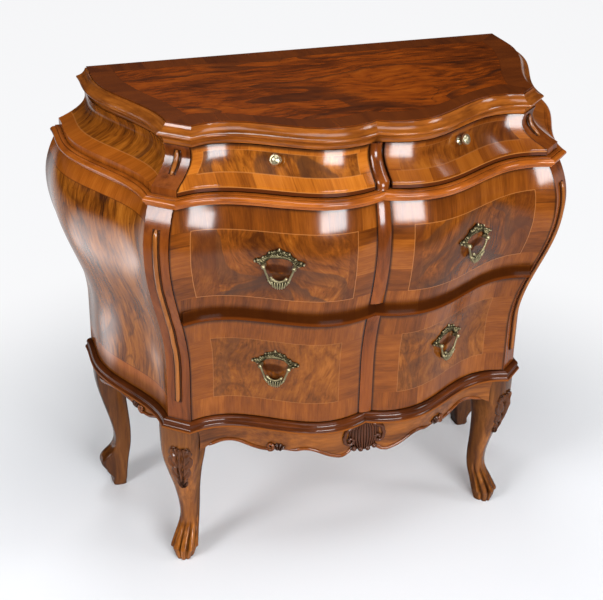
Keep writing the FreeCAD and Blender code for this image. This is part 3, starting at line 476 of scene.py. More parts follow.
def top_veneer():
    """Top: redder and darker leaves that run across the chest, in a crossbanded border."""
    wood = Recipe("top_veneer")
    panel, fibre = figured(wood, wood.y, wood.x, (0.55, 0.26, 0.0), 0.1, TOP_TONES, TOP_VEIN, 0.6,
                           (17.0, 4.5))
    offset = wood.calc("ABSOLUTE", wood.x)
    from_back = wood.less(BACK_Y, wood.y)
    from_front = wood.less(wood.curve(offset, TOP_FRONT, 0.0, 0.39), from_back)
    from_side = wood.less(wood.curve(from_back, TOP_FLANK, 0.0, 0.4), offset)
    level_room = wood.least(from_front, from_back)
    room = wood.less(wood.least(level_room, from_side), TOP_BORDER)
    border = wood.mixed(wood.calc("LESS_THAN", from_side, level_room),
                        crossbanding(wood, wood.x, wood.y, 0.4, RIM_TONES),
                        crossbanding(wood, wood.y, wood.x, 0.8, RIM_TONES))
    colour = inlaid(wood, room, border, panel, 0.0007, 0.35, TOP_TONES[0])
    return polish(wood, colour, fibre, (0.28, 0.42))


def pine():
    """Plain inner boards."""
    wood = Recipe("inner_boards")
    rings = wood.fibres(wood.place, (9.0, 9.0, 120.0), 5.0, 0.6, distortion=0.5)
    wood.paint("Base Color", wood.ramp(rings, (0.3, 0.55, 0.75), PINE_TONES))
    wood.paint("Roughness", wood.spread(rings, 0.2, 0.8, 0.6, 0.8))
    wood.bump(rings, 0.2, 0.0004)
    return wood.material


def cast_brass(name, tones, gloss):
    """Cast brass: bright on the high spots, darker in the hollows."""
    metal = Recipe(name)
    pits = metal.noise(metal.place, 420.0, 4.0, 0.6)
    patina = metal.noise(metal.place, 110.0, 3.0)
    high = metal.spread(metal.put("ShaderNodeNewGeometry", {}, "Pointiness"), 0.42, 0.58)
    worn = metal.times(metal.total((high, 0.75), (patina, 0.4)), metal.openness(0.004, 0.1, 0.85))
    metal.paint("Base Color", metal.ramp(worn, (0.3, 0.6, 0.92), tones))
    metal.paint("Metallic", 0.9)
    metal.paint("Roughness", metal.spread(patina, 0.3, 0.7, *gloss))
    metal.bump(pits, 0.25, 0.0003)
    return metal.material


# Finishes of the case, the stand and the handles

front_upper = banded_front("upper_front_veneer", MID_Z, WAIST_Z, BODY_LINE, 0.011, (0.037, 0.05, 0.04),
                           (0.15, 0.43, 0.0), 0.2, 0.42, PANEL_TONES, dark_foot=0.034,
                           seat=(0.1717, 0.6393), leaves=(0.04, 0.014))
front_lower = banded_front("lower_front_veneer", FLOOR_Z, MID_Z, BODY_LINE, 0.011, (0.043, 0.038, 0.046),
                           (0.62, 0.13, 0.0), 0.14, 0.22, LOWER_TONES, smoke=0.34, top_shade_scale=0.38,
                           seat=(0.1602, 0.4255))
front_frieze = banded_front("frieze_front_veneer", NECK_Z, TOP_Z, NECK_LINE, 0.012, (0.022, 0.024, 0.012),
                            (0.91, 0.27, 0.0), 0.12, 0.4, SIDE_TONES, BRIGHT_TONES, step=0.008)
moulding = run_moulding("moulding_walnut", MOULDING_TONES)
waist_moulding = run_moulding("waist_walnut", WAIST_TONES)
base_moulding = run_moulding("base_moulding_walnut", BASE_TONES, 0.302)
# Painted shade on the legs: darker at the top under the moulding, at the back and on the right
LEG_PAINTED_SHADE = (("z", 0.205, 0.285, 0.42), ("y", 0.03, 0.15, 0.5), ("x", 0.05, 0.28, 0.3))
CARVED_GLOSS = (0.3, 0.45)
upright_walnut = straight_walnut("upright_walnut", POST_TONES)
neck_walnut = straight_walnut("neck_walnut", POST_TONES, lean=(0.6, 0.2))
apron_walnut = straight_walnut("apron_walnut", APRON_TONES, "x", corners=0.006)
carved = straight_walnut("leg_walnut", LEG_TONES, "z", 1.0, (0.34, 0.5), 0.006, None, LEG_PAINTED_SHADE, 0.55)
leaf_carved = straight_walnut("leaf_walnut", LEAF_TONES, "z", 0.9, CARVED_GLOSS, 0.006)
dark_carved = straight_walnut("dark_carved_walnut", DARK_TONES, "z", 0.9, CARVED_GLOSS, 0.005)
edge_walnut = straight_walnut("edge_walnut", RUN_TONES, "x", 1.0, CARVED_GLOSS, 0.006)
bead_walnut = straight_walnut("bead_walnut", BEAD_TONES, "z", 1.0, CARVED_GLOSS, 0.006)
# Dark finish of the rods that paint the shade in the grooves beside the corner beads
groove_shade_walnut = straight_walnut("groove_shade_walnut", GROOVE_SHADE_TONES, "z", 0.4, (0.4, 0.6))
brass = cast_brass("aged_brass", shades(34, 26, 11, 155, 128, 62, 530, 455, 260), (0.32, 0.5))
pale_brass = cast_brass("pale_brass", shades(300, 250, 130, 520, 460, 280, 740, 680, 480), (0.24, 0.4))
inner_boards = pine()

# Finish of each CAD node: the first row with a word that its name holds, else plain boards
NODE_FINISHES = (
    (("handle_plates", "bail", "_knob"), brass),
    (("frieze_drawer_left_front", "frieze_drawer_right_front"), front_frieze),
    (("upper_drawer_front",), front_upper),
    (("lower_drawer_front",), front_lower),
    (("top_board",), top_veneer()),
    (("base_moulding", "bottom_board"), base_moulding),
    (("waist_moulding",), waist_moulding),
    (("moulding", "waist_board"), moulding),
    (("side_panel",), side_veneer()),
    (("neck_side",), neck_veneer()),
    (("leg_",), carved),
    (("apron_shell",), dark_carved),
    (("front_apron", "side_apron"), apron_walnut),
    (("neck_corner", "neck_divider"), neck_walnut),
    (("corner_", "_bead"), upright_walnut),
)


def dress(piece, finish):
    """Gives a piece its finish and smooth shading."""
    piece.data.materials.clear()
    piece.data.materials.append(finish)
    for face in piece.data.polygons:
        face.use_smooth = True


for name, node in nodes.items():
    fitting = [finish for words, finish in NODE_FINISHES if any(word in name for word in words)]
    dress(node, (fitting + [inner_boards])[0])

# Modelling by hand: primitives, edit-mode shaping and applied modifiers


def choose(*pieces):
    """Selects these pieces alone, the first of them active."""
    bpy.ops.object.select_all(action="DESELECT")
    for piece in pieces:
        piece.select_set(True)
    bpy.context.view_layer.objects.active = pieces[0]


def begin(adder, **settings):
    """Adds a primitive with nothing else selected."""
    bpy.ops.object.select_all(action="DESELECT")
    adder(**settings)
    return bpy.context.object


def face_outward(piece, fill=False):
    """Merges doubles, fills open ends if asked, and turns every face of a closed piece outward."""
    choose(piece)
    bpy.ops.object.mode_set(mode="EDIT")
    bpy.ops.mesh.select_all(action="SELECT")
    bpy.ops.mesh.remove_doubles(threshold=0.00001)
    if fill:
        bpy.ops.mesh.fill_holes(sides=0)
        bpy.ops.mesh.select_all(action="SELECT")
    bpy.ops.mesh.normals_make_consistent(inside=False)
    bpy.ops.object.mode_set(mode="OBJECT")
    return piece


def drawn_grid(across, along, shape):
    """A grid drawn to a form by shape(u, share), u from -1 to 1 and share from 0 to 1."""
    piece = begin(bpy.ops.mesh.primitive_grid_add, x_subdivisions=across, y_subdivisions=along, size=2)
    for vertex in piece.data.vertices:
        vertex.co = shape(vertex.co.x, (vertex.co.y + 1) / 2)
    return piece


def carved_sheet(across, along, shape, thickness):
    """A grid drawn to a carved face, with a back behind it."""
    piece = drawn_grid(across, along, shape)
    back = piece.modifiers.new("back", "SOLIDIFY")
    back.thickness = thickness
    back.offset = -1
    choose(piece)
    bpy.ops.object.modifier_apply(modifier=back.name)
    return face_outward(piece)


def turned(profile, sides):
    """A turned piece about Z: a disc extruded and scaled through (radius, height) steps."""
    radius, height = profile[0]
    piece = begin(bpy.ops.mesh.primitive_circle_add, vertices=sides, radius=radius, fill_type="NGON",
                  location=(0, 0, height))
    bpy.ops.object.transform_apply()
    bpy.ops.object.mode_set(mode="EDIT")
    bpy.ops.mesh.select_all(action="SELECT")
    for next_radius, next_height in profile[1:]:
        bpy.ops.mesh.extrude_region_move(TRANSFORM_OT_translate={"value": (0, 0, next_height - height)})
        share = next_radius / radius
        bpy.ops.transform.resize(value=(share, share, 1), center_override=(0, 0, next_height))
        radius, height = next_radius, next_height
    bpy.ops.object.mode_set(mode="OBJECT")
    return face_outward(piece)


def rod(points, radii, resolution=5):
    """A round rod along points, thinner or thicker at each, closed at both ends."""
    line = bpy.data.curves.new("rod", "CURVE")
    line.dimensions = "3D"
    line.bevel_depth = 1.0
    line.bevel_resolution = resolution
    line.use_fill_caps = True
    run = line.splines.new("POLY")
    run.points.add(len(points) - 1)
    for spot, point, radius in zip(run.points, points, radii):
        spot.co = (*point, 1)
        spot.radius = radius
    piece = bpy.data.objects.new("rod", line)
    bpy.context.scene.collection.objects.link(piece)
    choose(piece)
    bpy.ops.object.convert(target="MESH")
    return face_outward(bpy.context.object)


def joined(pieces):
    """Several shaped bits made one piece."""
    choose(*pieces)
    bpy.ops.object.join()
    return pieces[0]


def twin(piece, seat):
    """A copy with its own mesh, moved to a seat; a mirroring seat keeps its faces outward."""
    copy = piece.copy()
    copy.data = piece.data.copy()
    bpy.context.scene.collection.objects.link(copy)
    copy.data.transform(seat)
    if seat.determinant() < 0:
        copy.data.flip_normals()
    return copy


MIRROR = Matrix.Scale(-1, 4, (1, 0, 0))
FACING_FORWARD = Matrix.Rotation(-pi / 2, 4, "X")
HANDS = (("left", -1), ("right", 1))


def framed(origin, *axes):
    """Seat at an origin with its own X, Y and Z axes."""
    return Matrix.Translation(origin) @ Matrix(axes).transposed().to_4x4()


def handed(sign, point):
    """A right-hand point as it is, or turned over to the left."""
    return Vector((sign * point[0], point[1], point[2]))


def with_mirror(piece):
    """A piece and its mirror image as one."""
    return joined([piece, twin(piece, MIRROR)])


def settle(piece, name, finish, slot="carved_wood", body="case", *replaced):
    """Names a finished piece, gives it its material and joins it to its body."""
    piece.name = name
    piece.data.name = name
    dress(piece, finish)
    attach(piece, body)
    if replaced:
        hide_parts(*replaced)


def drawn(table, at):
    """Value of a table of (place, value) steps, eased from step to step."""
    if at <= table[0][0]:
        return table[0][1]
    for (left, first), (right, second) in zip(table, table[1:]):
        if at <= right:
            share = (at - left) / (right - left)
            return first + (second - first) * share * share * (3 - 2 * share)
    return table[-1][1]


def smooth_run(table, at, column):
    """Value of a table of steps along a smooth curve through them all."""
    places = [row[0] for row in table]
    values = [row[column] for row in table]
    index = 0
    while index < len(table) - 2 and at > places[index + 1]:
        index += 1
    before, after = max(index - 1, 0), min(index + 2, len(table) - 1)
    width = places[index + 1] - places[index]
    share = (at - places[index]) / width
    start = (values[index + 1] - values[before]) / (places[index + 1] - places[before]) * width
    end = (values[after] - values[index]) / (places[after] - places[index]) * width
    square, cube = share ** 2, share ** 3
    return ((2 * cube - 3 * square + 1) * values[index] + (cube - 2 * square + share) * start
            + (3 * square - 2 * cube) * values[index + 1] + (cube - square) * end)


def met(name, start, heading):
    """Point where a line meets a CAD node."""
    found, place, _, _ = nodes[name].ray_cast(Vector(start), Vector(heading))
    return place if found else None


# Brass handles

PIVOT_OUT = 0.008
PIVOT_HALF = 0.0247
CREST_HALF = 0.0395
CREST_TOP = millimetres(
    (0, 31), (1.4, 28.8), (4, 27.6), (7, 26.6), (8.8, 24.4), (12, 24.8), (16, 24), (18, 20.5),
    (19.5, 16.6), (22.5, 16), (26.2, 14.8), (28.2, 10.6), (31.2, 10), (35, 9.6), (38.5, 7.6),
    (39.5, 5.6))
CREST_FOOT = millimetres(
    (0, 12.8), (8, 12.5), (14, 11.6), (20, 8.6), (23, 4.5), (25.5, 0.5), (29, -0.8), (33, 0.5), (37, 3),
    (39.5, 5))
CREST_BAND = 0.24
# Sideways place, height and radius of each boss
CREST_STUDS = millimetres(
    (8.2, 25.2, 1.3), (16.2, 22.6, 1.6), (25.8, 13.4, 1.6), (34.5, 7.8, 1.9), (39.2, 5.4, 1.7),
    (31, 1.6, 1.4))
SPIRE = millimetres((0, -2, 26.2), (0, -2.6, 28.2), (0, -2.4, 30), (0, -1.8, 31.8))
LUG_PROFILE = millimetres(
    (3.4, 2), (4, -2), (3, -4.5), (3.4, -7.5), (3.7, -9.8), (2.8, -11.8), (1, -12.6))


def waved(turns):
    """Even wave from 0 to 1, highest at whole turns."""
    return 0.5 + 0.5 * cos(tau * turns)


def crest_face(u, share):
    """Cast crest: a smooth band along its arched foot, curling leaves above it and a raised edge."""
    x = CREST_HALF * u
    low, high = drawn(CREST_FOOT, abs(x)), drawn(CREST_TOP, abs(x))
    z = low + (high - low) * share
    fan = degrees(atan2(abs(x), z + 0.006)) + 3.5 * sin(3 * pi * share)
    leaf = waved(fan / 9.0)
    if abs(x) > 0.02:
        leaf = waved((abs(x) - 0.9 * z) / 0.0052)
    if share < CREST_BAND:
        relief = 0.0018 * sin(pi * share / CREST_BAND) ** 0.6
    else:
        relief = 0.0019 * leaf * sin(pi * (share - CREST_BAND) / (1 - CREST_BAND)) ** 0.4
        relief += 0.0009 * max(0.0, share - 0.82) / 0.18
    return (x, -0.0012 - relief, z)


def stud(radius, place):
    """Small turned boss at a place, facing forward."""
    profile = ((0.8 * radius, 0.001), (radius, -0.0008), (0.92 * radius, -0.6 * radius - 0.0008),
               (0.62 * radius, -1.0 * radius - 0.0008), (0.25 * radius, -1.16 * radius - 0.0008))
    piece = turned(profile, 16)
    piece.data.transform(Matrix.Translation(place) @ FACING_FORWARD)
    return piece


def crest_plate():
    """Crest with bosses along its edge and the two lugs that carry the bail."""
    pieces = [carved_sheet(180, 26, crest_face, 0.0022), rod(SPIRE, (0.0012, 0.0019, 0.0015, 0.0004), 4)]
    for _, sign in HANDS:
        pieces += [stud(radius, (sign * x, -0.0018, z)) for x, z, radius in CREST_STUDS]
        lug = turned(LUG_PROFILE, 20)
        lug.data.transform(Matrix.Translation((sign * PIVOT_HALF, 0, 0)) @ FACING_FORWARD)
        pieces.append(lug)
    return joined(pieces)


GRIP_HALF = 0.016
PETALS = 8
PETAL_RADII = (0.0009, 0.0011, 0.0013, 0.0014, 0.0013, 0.0008)
RIM_HALF, RIM_STEPS = 0.0118, 20
ARM = millimetres(
    (25.1, 0, 0.8), (23.8, 0, -2.2), (22.2, -0.2, -6.8), (20.4, -0.4, -11.6), (18.6, -0.6, -16.2),
    (17.2, -0.8, -20), (16, -1, -23.5))
ARM_RADII = (0.0017, 0.0019, 0.0018, 0.0018, 0.0018, 0.002, 0.0017)
BAIL_STUDS = millimetres((12, -18.4, 2.6), (15.8, -23.6, 2.3))


def grip_top(x):
    """Height of the upper edge of the grip."""
    return -0.0262 + 0.0034 * (x / GRIP_HALF) ** 2


def grip_low(x):
    """Height of the tips of the petals."""
    return -0.0385 + 0.0085 * abs(x / GRIP_HALF) ** 3


def grip_face(u, share):
    """Ground behind the petals."""
    x = GRIP_HALF * u
    return (x * (0.76 + 0.24 * share), 0.0002, grip_low(x) * (1 - share) + grip_top(x) * share)


def petal(x):
    """One petal of the grip, from its root at the rim to its tip."""
    spine = []
    for step in range(6):
        share = step / 5
        out = 0.0014 + 0.0013 * sin(pi * (0.15 + 0.7 * share))
        spine.append((x * (1 - 0.24 * share), -out, grip_top(x) * (1 - share) + grip_low(x) * share))
    return rod(spine, PETAL_RADII, 4)


def bail():
    """Swinging drop: two straight arms, a smiling rim between two bosses and a grip of petals below it."""
    pieces = [carved_sheet(36, 6, grip_face, 0.0024)]
    pieces += [petal(GRIP_HALF * (2 * count / (PETALS - 1) - 1) * 0.97) for count in range(PETALS)]
    rim, radii = [], []
    for step in range(RIM_STEPS + 1):
        way = 2 * step / RIM_STEPS - 1
        rim.append((RIM_HALF * way, -0.0026, -0.0247 + 0.0066 * way ** 2))
        radii.append(0.0016 + 0.0004 * sin(pi * step / RIM_STEPS))
    pieces.append(rod(rim, radii, 4))
    for _, sign in HANDS:
        pieces.append(rod([handed(sign, point) for point in ARM], ARM_RADII, 4))
        pieces += [stud(radius, (sign * x, -0.0014, z)) for x, z, radius in BAIL_STUDS]
    grip = joined(pieces)
    grip.data.transform(Matrix.Translation((0, -PIVOT_OUT, 0)))
    return grip


# Right-hand seats of the bails: pivot, the way along the front, the way up it
HANDLE_SEATS = {
    "upper_drawer": ((0.171731, -0.203243, 0.639331), (0.883728, 0.468001, 0.0),
                     (0.039126, -0.073881, 0.996499)),
    "lower_drawer": ((0.16017, -0.150372, 0.425527), (0.852826, 0.522195, 0.0),
                     (0.030874, -0.050422, 0.998251)),
}


def handle_seat(drawer, sign):
    """Seat of a handle: X along the front, Z up it, Y into the wood, its origin on the wood."""
    pivot, along, rise = (handed(sign, part) for part in HANDLE_SEATS[drawer])
    along = along * sign
    return framed(pivot, along, rise.cross(along), rise) @ Matrix.Translation((0, PIVOT_OUT, 0))


crest_model = crest_plate()
bail_model = bail()
for drawer in HANDLE_SEATS:
    plates = joined([twin(crest_model, handle_seat(drawer, sign)) for _, sign in HANDS])
    settle(plates, f"{drawer}_crests", brass, "brass", drawer, f"{drawer}_handle_plates")
    for hand, sign in HANDS:
        swing = twin(bail_model, handle_seat(drawer, sign))
        swinging = f"{drawer}_bail_{hand}"
        settle(swing, f"{drawer}_drop_{hand}", brass, "brass", swinging, swinging)

# Turned knobs on the frieze drawers

KNOB_PROFILE = millimetres(
    (2, 10), (2.2, 3), (7.2, 2.6), (7.8, 0.8), (7.4, -1.2), (6.2, -2), (5.6, -2.6), (4.2, -3.6),
    (3.7, -6), (4.4, -8.2), (6.4, -9.6), (8.4, -11.2), (9.2, -13), (9, -14.8), (8, -16.6), (6.6, -17.7),
    (6, -17.4), (5.4, -18), (3.6, -19), (1.4, -19.4))
KNOB_BASE, KNOB_INWARD = (0.155, -0.136631, 0.793), (-0.499709, 0.785106, -0.365922)
knob_model = turned(KNOB_PROFILE, 40)
for hand, sign in HANDS:
    turn = Vector((0, 0, 1)).rotation_difference(handed(sign, KNOB_INWARD)).to_matrix().to_4x4()
    knob = twin(knob_model, Matrix.Translation(handed(sign, KNOB_BASE)) @ turn)
    drawer = f"frieze_drawer_{hand}"
    settle(knob, f"turned_knob_{hand}", pale_brass, "brass", drawer, f"{drawer}_knob")
for model in (crest_model, bail_model, knob_model):
    bpy.data.objects.remove(model)

# Front legs: cabriole form with long ridged toes, and a carved leaf on the knee

LEG_HEIGHT, LEG_WIDTH, SQUARENESS = 0.3, 0.08, 2.7
LEG_BASE = Vector((0.3, -0.063, 0))
LEG_OUT = Vector((sin(radians(43)), -cos(radians(43)), 0))
LEG_ACROSS = Vector((-LEG_OUT.y, LEG_OUT.x, 0))
# Height share, then shares of the width: outward shift, half width, half depth
LEG_FORM = (
    (0, 0.05, 0.185, 0.215), (0.04, 0.05, 0.225, 0.255), (0.085, 0.03, 0.262, 0.275),
    (0.155, -0.07, 0.238, 0.245), (0.24, -0.2, 0.205, 0.21), (0.34, -0.22, 0.215, 0.215),
    (0.49, -0.14, 0.27, 0.265), (0.64, -0.04, 0.365, 0.355), (0.74, -0.01, 0.44, 0.42),
    (0.85, -0.02, 0.485, 0.45), (1, -0.03, 0.505, 0.46))
# Grooves between the toes: angle from the outward way, half width, depth share
TOE_GROOVES = ((0, 6, 0.9), (40, 6.5, 1), (-40, 6.5, 1), (82, 7, 0.8), (-82, 7, 0.8))
GROOVE_DEPTH = ((0, 0.12), (0.05, 0.2), (0.085, 0.3), (0.13, 0.26), (0.2, 0.15), (0.29, 0))
TOE_SWELL = ((0, 0), (0.07, 0), (0.078, 0.15), (0.12, 0.1), (0.2, 0.05), (0.29, 0))
TOE_REACH = 0.31 * LEG_WIDTH


def ridge(away, width):
    """Rounded ridge: 1 in the middle, nearly 0 past twice its width."""
    return exp(-(away / width) ** 2)


def leg_spot(angle, share, lift):
    """Point of the right front leg's skin at an angle from the outward way and a share of the height."""
    out, across, depth = (smooth_run(LEG_FORM, share, column) * LEG_WIDTH for column in (1, 2, 3))
    corner = (abs(cos(angle)) ** SQUARENESS + abs(sin(angle)) ** SQUARENESS) ** (-1 / SQUARENESS)
    way = LEG_OUT * (depth * cos(angle)) + LEG_ACROSS * (across * sin(angle))
    spot = LEG_BASE + LEG_OUT * out + way * corner + way.normalized() * lift
    spot.z = share * LEG_HEIGHT
    return spot


def toed_leg(u, rise):
    """Skin of the leg, grooved between the toes."""
    share = rise ** 1.25
    angle = pi * u
    turn = degrees(angle)
    groove = max(depth * ridge(turn - at, width) for at, width, depth in TOE_GROOVES)
    front = 0.5 + 0.5 * cos(angle) if abs(turn) > 100 else 1.0
    lift = drawn(TOE_SWELL, share) * front * (1 - groove) - drawn(GROOVE_DEPTH, share) * groove
    return leg_spot(angle, share, TOE_REACH * lift)


# Half width of the knee leaf along its length, tip to top
LEAF_HALF = (
    (0, 0.003), (0.08, 0.008), (0.22, 0.015), (0.4, 0.02), (0.58, 0.0225), (0.74, 0.0235),
    (0.86, 0.0225), (0.95, 0.018), (1, 0.012))
LEAF_LOW, LEAF_HIGH = 0.545, 0.85
LEAF_TURN = radians(-17)
KNEE_RADIUS = 0.46 * LEG_WIDTH


def knee_leaf(u, share):
    """Acanthus leaf over the knee: lobed edges that curl up, a midrib in two grooves and fanned veins."""
    side = abs(u)
    lobe = abs(sin(share * pi * 3.5 + 0.5)) ** 0.6
    half = drawn(LEAF_HALF, share) * (0.8 + 0.24 * lobe)
    height = LEAF_LOW + (LEAF_HIGH - LEAF_LOW) * share + 0.045 * share * (side - side ** 2)
    vein = waved(3.5 * share - 1.5 * side + 0.1) ** 0.8
    edge = max(0.0, 1 - side ** 10)
    curl_up = 0.0026 * ridge(side - 0.84, 0.1) * lobe
    crown = 0.0016 + 0.004 * vein * sin(pi * min(1.0, side * 0.9 + 0.08))
    rib = 0.0042 * ridge(u, 0.085) - 0.0026 * ridge(side - 0.2, 0.07)
    lift = (crown + rib + curl_up) * edge - 0.0014 * (1 - edge)
    return leg_spot(LEAF_TURN + u * half / KNEE_RADIUS, height, lift)


leg_right = face_outward(drawn_grid(160, 150, toed_leg), fill=True)
leg_left = twin(leg_right, MIRROR)
leaf_right = carved_sheet(72, 84, knee_leaf, 0.004)
leaf_left = twin(leaf_right, MIRROR)
for hand, leg, leaf in (("left", leg_left, leaf_left), ("right", leg_right, leaf_right)):
    settle(leg, f"cabriole_leg_{hand}", carved, "carved_wood", "case", f"leg_front_{hand}")
    settle(leaf, f"knee_leaf_{hand}", leaf_carved)

# Carving along the aprons: a bead on the lower edge that winds into scrolls, leaf tufts and a middle shell

APRON_HIGH = 0.292
BEAD_RADIUS, BEAD_TIP = 0.0033, 0.0019
SCROLL_REACH, SCROLL_EYE, SCROLL_STEPS = 0.0072, 0.0014, 32


def apron_face(apron, place, height):
    """Outer face of the front apron at x, or of the right side apron at y."""
    if apron == "front_apron":
        return met(apron, (place, -0.5, height), (0, 1, 0))
    return met(apron, (0.6, place, height), (-1, 0, 0))


def apron_edge(apron, place):
    """Outer corner of an apron's lower edge."""
    face = apron_face(apron, place, APRON_HIGH)
    inward = Vector((0, 0.005, 0)) if apron == "front_apron" else Vector((-0.005, 0, 0))
    under = met(apron, (face.x + inward.x, face.y + inward.y, 0.15), (0, 0, 1))
    corner = apron_face(apron, place, under.z + 0.003)
    return Vector((corner.x, corner.y, under.z + 0.0006))


def edge_run(apron, first, last, count):
    """Points along the lower edge for the middle of the bead."""
    return [apron_edge(apron, first + (last - first) * step / (count - 1)) for step in range(count)]


def apron_seat(apron, place, rise):
    """Seat on an apron's face, at a rise over its lower edge: X along it, Z up, Y into the wood."""
    height = apron_edge(apron, place).z + rise
    before, after = (apron_face(apron, place + step, height + 0.005) for step in (-0.004, 0.004))
    along = (after - before).normalized()
    upward = Vector((0, 0, 1))
    origin = (before + after) / 2
    origin.z = height
    return framed(origin, along, upward.cross(along), upward)


def tuft_face(u, share):
    """Tuft of four small leaves that opens upward from the edge."""
    spread = radians(60) * u
    lobe = abs(sin(u * pi * 2)) ** 0.7
    reach = 0.001 + (0.0108 + 0.0038 * lobe) * share
    out = 0.0012 + 0.005 * lobe * sin(pi * (0.12 + 0.8 * share))
    return (reach * sin(spread), -out, reach * cos(spread))


def scrolled_bead(apron, first, scroll):
    """Bead from one end of an apron's edge to a scroll on its face, which winds inward and thins."""
    run = edge_run(apron, first, scroll - copysign(0.004, scroll - first), 44)
    radii = [BEAD_RADIUS * min(1, 0.4 + step / 6) for step in range(44)]
    seat = apron_seat(apron, scroll, SCROLL_REACH)
    for step in range(SCROLL_STEPS + 1):
        share = step / SCROLL_STEPS
        angle = radians(-100 + 440 * share)
        away = SCROLL_REACH + (SCROLL_EYE - SCROLL_REACH) * share
        run.append(seat @ Vector((away * cos(angle), -0.003, away * sin(angle))))
        radii.append(BEAD_RADIUS + (BEAD_TIP - BEAD_RADIUS) * share)
    return rod(run, radii)


def tapered_bead(apron, first, last):
    """Bead along an apron's edge that starts as a point."""
    radii = [BEAD_RADIUS * min(1, 0.2 + step / 9) for step in range(48)]
    return rod(edge_run(apron, first, last, 48), radii)


def leaf_tuft(apron, place):
    """Tuft seated over an apron's edge."""
    tuft = carved_sheet(64, 14, tuft_face, 0.003)
    tuft.data.transform(apron_seat(apron, place, -0.0012))
    return tuft


apron = "front_apron"
bead = joined([scrolled_bead(apron, -0.262, -0.1605), tapered_bead(apron, -0.1375, -0.023)])
settle(with_mirror(bead), "front_apron_bead", edge_walnut)
tuft = leaf_tuft(apron, -0.1475)
settle(with_mirror(tuft), "front_apron_tufts", dark_carved)
apron = "side_apron_right"
bead = joined([scrolled_bead(apron, -0.028, 0.022), tapered_bead(apron, 0.045, 0.174)])
tuft = leaf_tuft(apron, 0.0345)
side_pairs = (("right", bead, tuft), ("left", twin(bead, MIRROR), twin(tuft, MIRROR)))
for hand, side_bead, side_tuft in side_pairs:
    settle(side_bead, f"side_apron_bead_{hand}", edge_walnut)
    settle(side_tuft, f"side_apron_tuft_{hand}", dark_carved)

SHELL_LOW, SHELL_HIGH = 0.25, 0.2985
SHELL_HALF = ((0.0, 0.019), (0.16, 0.025), (0.42, 0.03), (0.72, 0.029), (1.0, 0.021))
SHELL_FLUTES = 11
SHELL_STUDS = millimetres((-19, 248.5), (-6.6, 245.5), (6.6, 245.5), (19, 248.5))
# Winding of the scroll beside the shell: angle, then how far it is from the eye
SHELL_SCROLL = (
    (-400, 0.0012), (-300, 0.0034), (-240, 0.0048), (-180, 0.0062), (-120, 0.0074), (-60, 0.0084),
    (0, 0.0096), (45, 0.014), (80, 0.0225), (112, 0.029))
SHELL_EYE_X, SHELL_EYE_Z, SHELL_STEPS = 0.0262, 0.265, 55
shell_ground = apron_face("front_apron", 0.034, APRON_HIGH).y + 0.003


def shell_face(u, share):
    """Fluted shell that fans down from under the base moulding."""
    half = drawn(SHELL_HALF, share)
    lobe = abs(cos(u * pi * SHELL_FLUTES / 2)) ** 0.75
    dome = (1 - 0.92 * abs(u) ** 2.6) * (0.6 + 0.4 * sin(pi * (0.05 + 0.75 * (1 - share))))
    out = 0.009 * dome + 0.004 * (lobe - 0.5) * (1 - 0.4 * share)
    drop = 0.0024 * lobe * (1 - share) + 0.003 * (1 - share) * (1 - u * u)
    return (u * half, shell_ground - out, SHELL_LOW + (SHELL_HIGH - SHELL_LOW) * share - drop)


def shell_scroll(sign):
    """Scroll at one side of the shell, which winds in to its eye and thins."""
    points, radii = [], []
    for step in range(SHELL_STEPS + 1):
        share = step / SHELL_STEPS
        turn = 112 - 512 * share
        away, angle = drawn(SHELL_SCROLL, turn), radians(turn)
        point = (SHELL_EYE_X + away * cos(angle), shell_ground - 0.0046 - 0.003 * share,
                 SHELL_EYE_Z + away * sin(angle))
        points.append(handed(sign, point))
        radii.append(0.0036 - 0.0016 * share)
    return rod(points, radii)


shell_bits = [carved_sheet(154, 30, shell_face, 0.006)]
shell_bits += [stud(0.005, (x, shell_ground - 0.0055, z)) for x, z in SHELL_STUDS]
shell_bits += [shell_scroll(sign) for _, sign in HANDS]
settle(joined(shell_bits), "carved_apron_shell", dark_carved, "carved_wood", "case", "apron_shell")

# Raised beads on the canted posts, each between two dark rods of painted groove shade, and the pellets on
# the neck corners

CANT_OUT = Vector((1, -1, 0)).normalized()
CANT_ALONG = Vector((1, 1, 0)).normalized()
GROOVE_RADIUS = 0.0012


def rib_crest(low, high):
    """Crest of the right-hand rib between two heights: the CAD mesh's outermost point at each height."""
    levels = {}
    for vertex in nodes["corner_beads"].data.vertices:
        if vertex.co.x > 0 and low <= vertex.co.z <= high:
            level = round(vertex.co.z * 250) / 250
            best = levels.get(level)
            if best is None or vertex.co.x - vertex.co.y > best.x - best.y:
                levels[level] = vertex.co.copy()
    crest = [levels[level] for level in sorted(levels)]
    for _ in range(6):
        evened = [(before + here + after) / 3 for before, here, after in zip(crest, crest[1:], crest[2:])]
        crest = [crest[0]] + evened + [crest[-1]]
    return crest


def rib_rods(crest, half, groove):
    """Round bead under a crest line with closed ends, and a thin dark rod on each side of it that paints
    the shade of a groove.
    """
    count = len(crest)
    swell = [half * min(1.0, sqrt((min(step, count - 1 - step) + 0.35) / 2.0)) for step in range(count)]
    bead = rod([point - CANT_OUT * (half * 0.55) for point in crest], swell)
    lines = []
    for side in (-1, 1):
        shift = CANT_ALONG * (side * (half + 0.0014)) - CANT_OUT * groove
        lines.append(rod([point + shift for point in crest], [GROOVE_RADIUS] * count, 3))
    return bead, joined(lines)


post_bead, post_groove_shade = rib_rods(rib_crest(0.34, 0.72), 0.004, 0.0034)
neck_pellet, neck_groove_shade = rib_rods(rib_crest(0.74, 0.82), 0.0038, 0.0042)
beads = with_mirror(joined([post_bead, neck_pellet]))
settle(beads, "corner_bead_rods", bead_walnut, "moulding_wood", "case", "corner_beads")
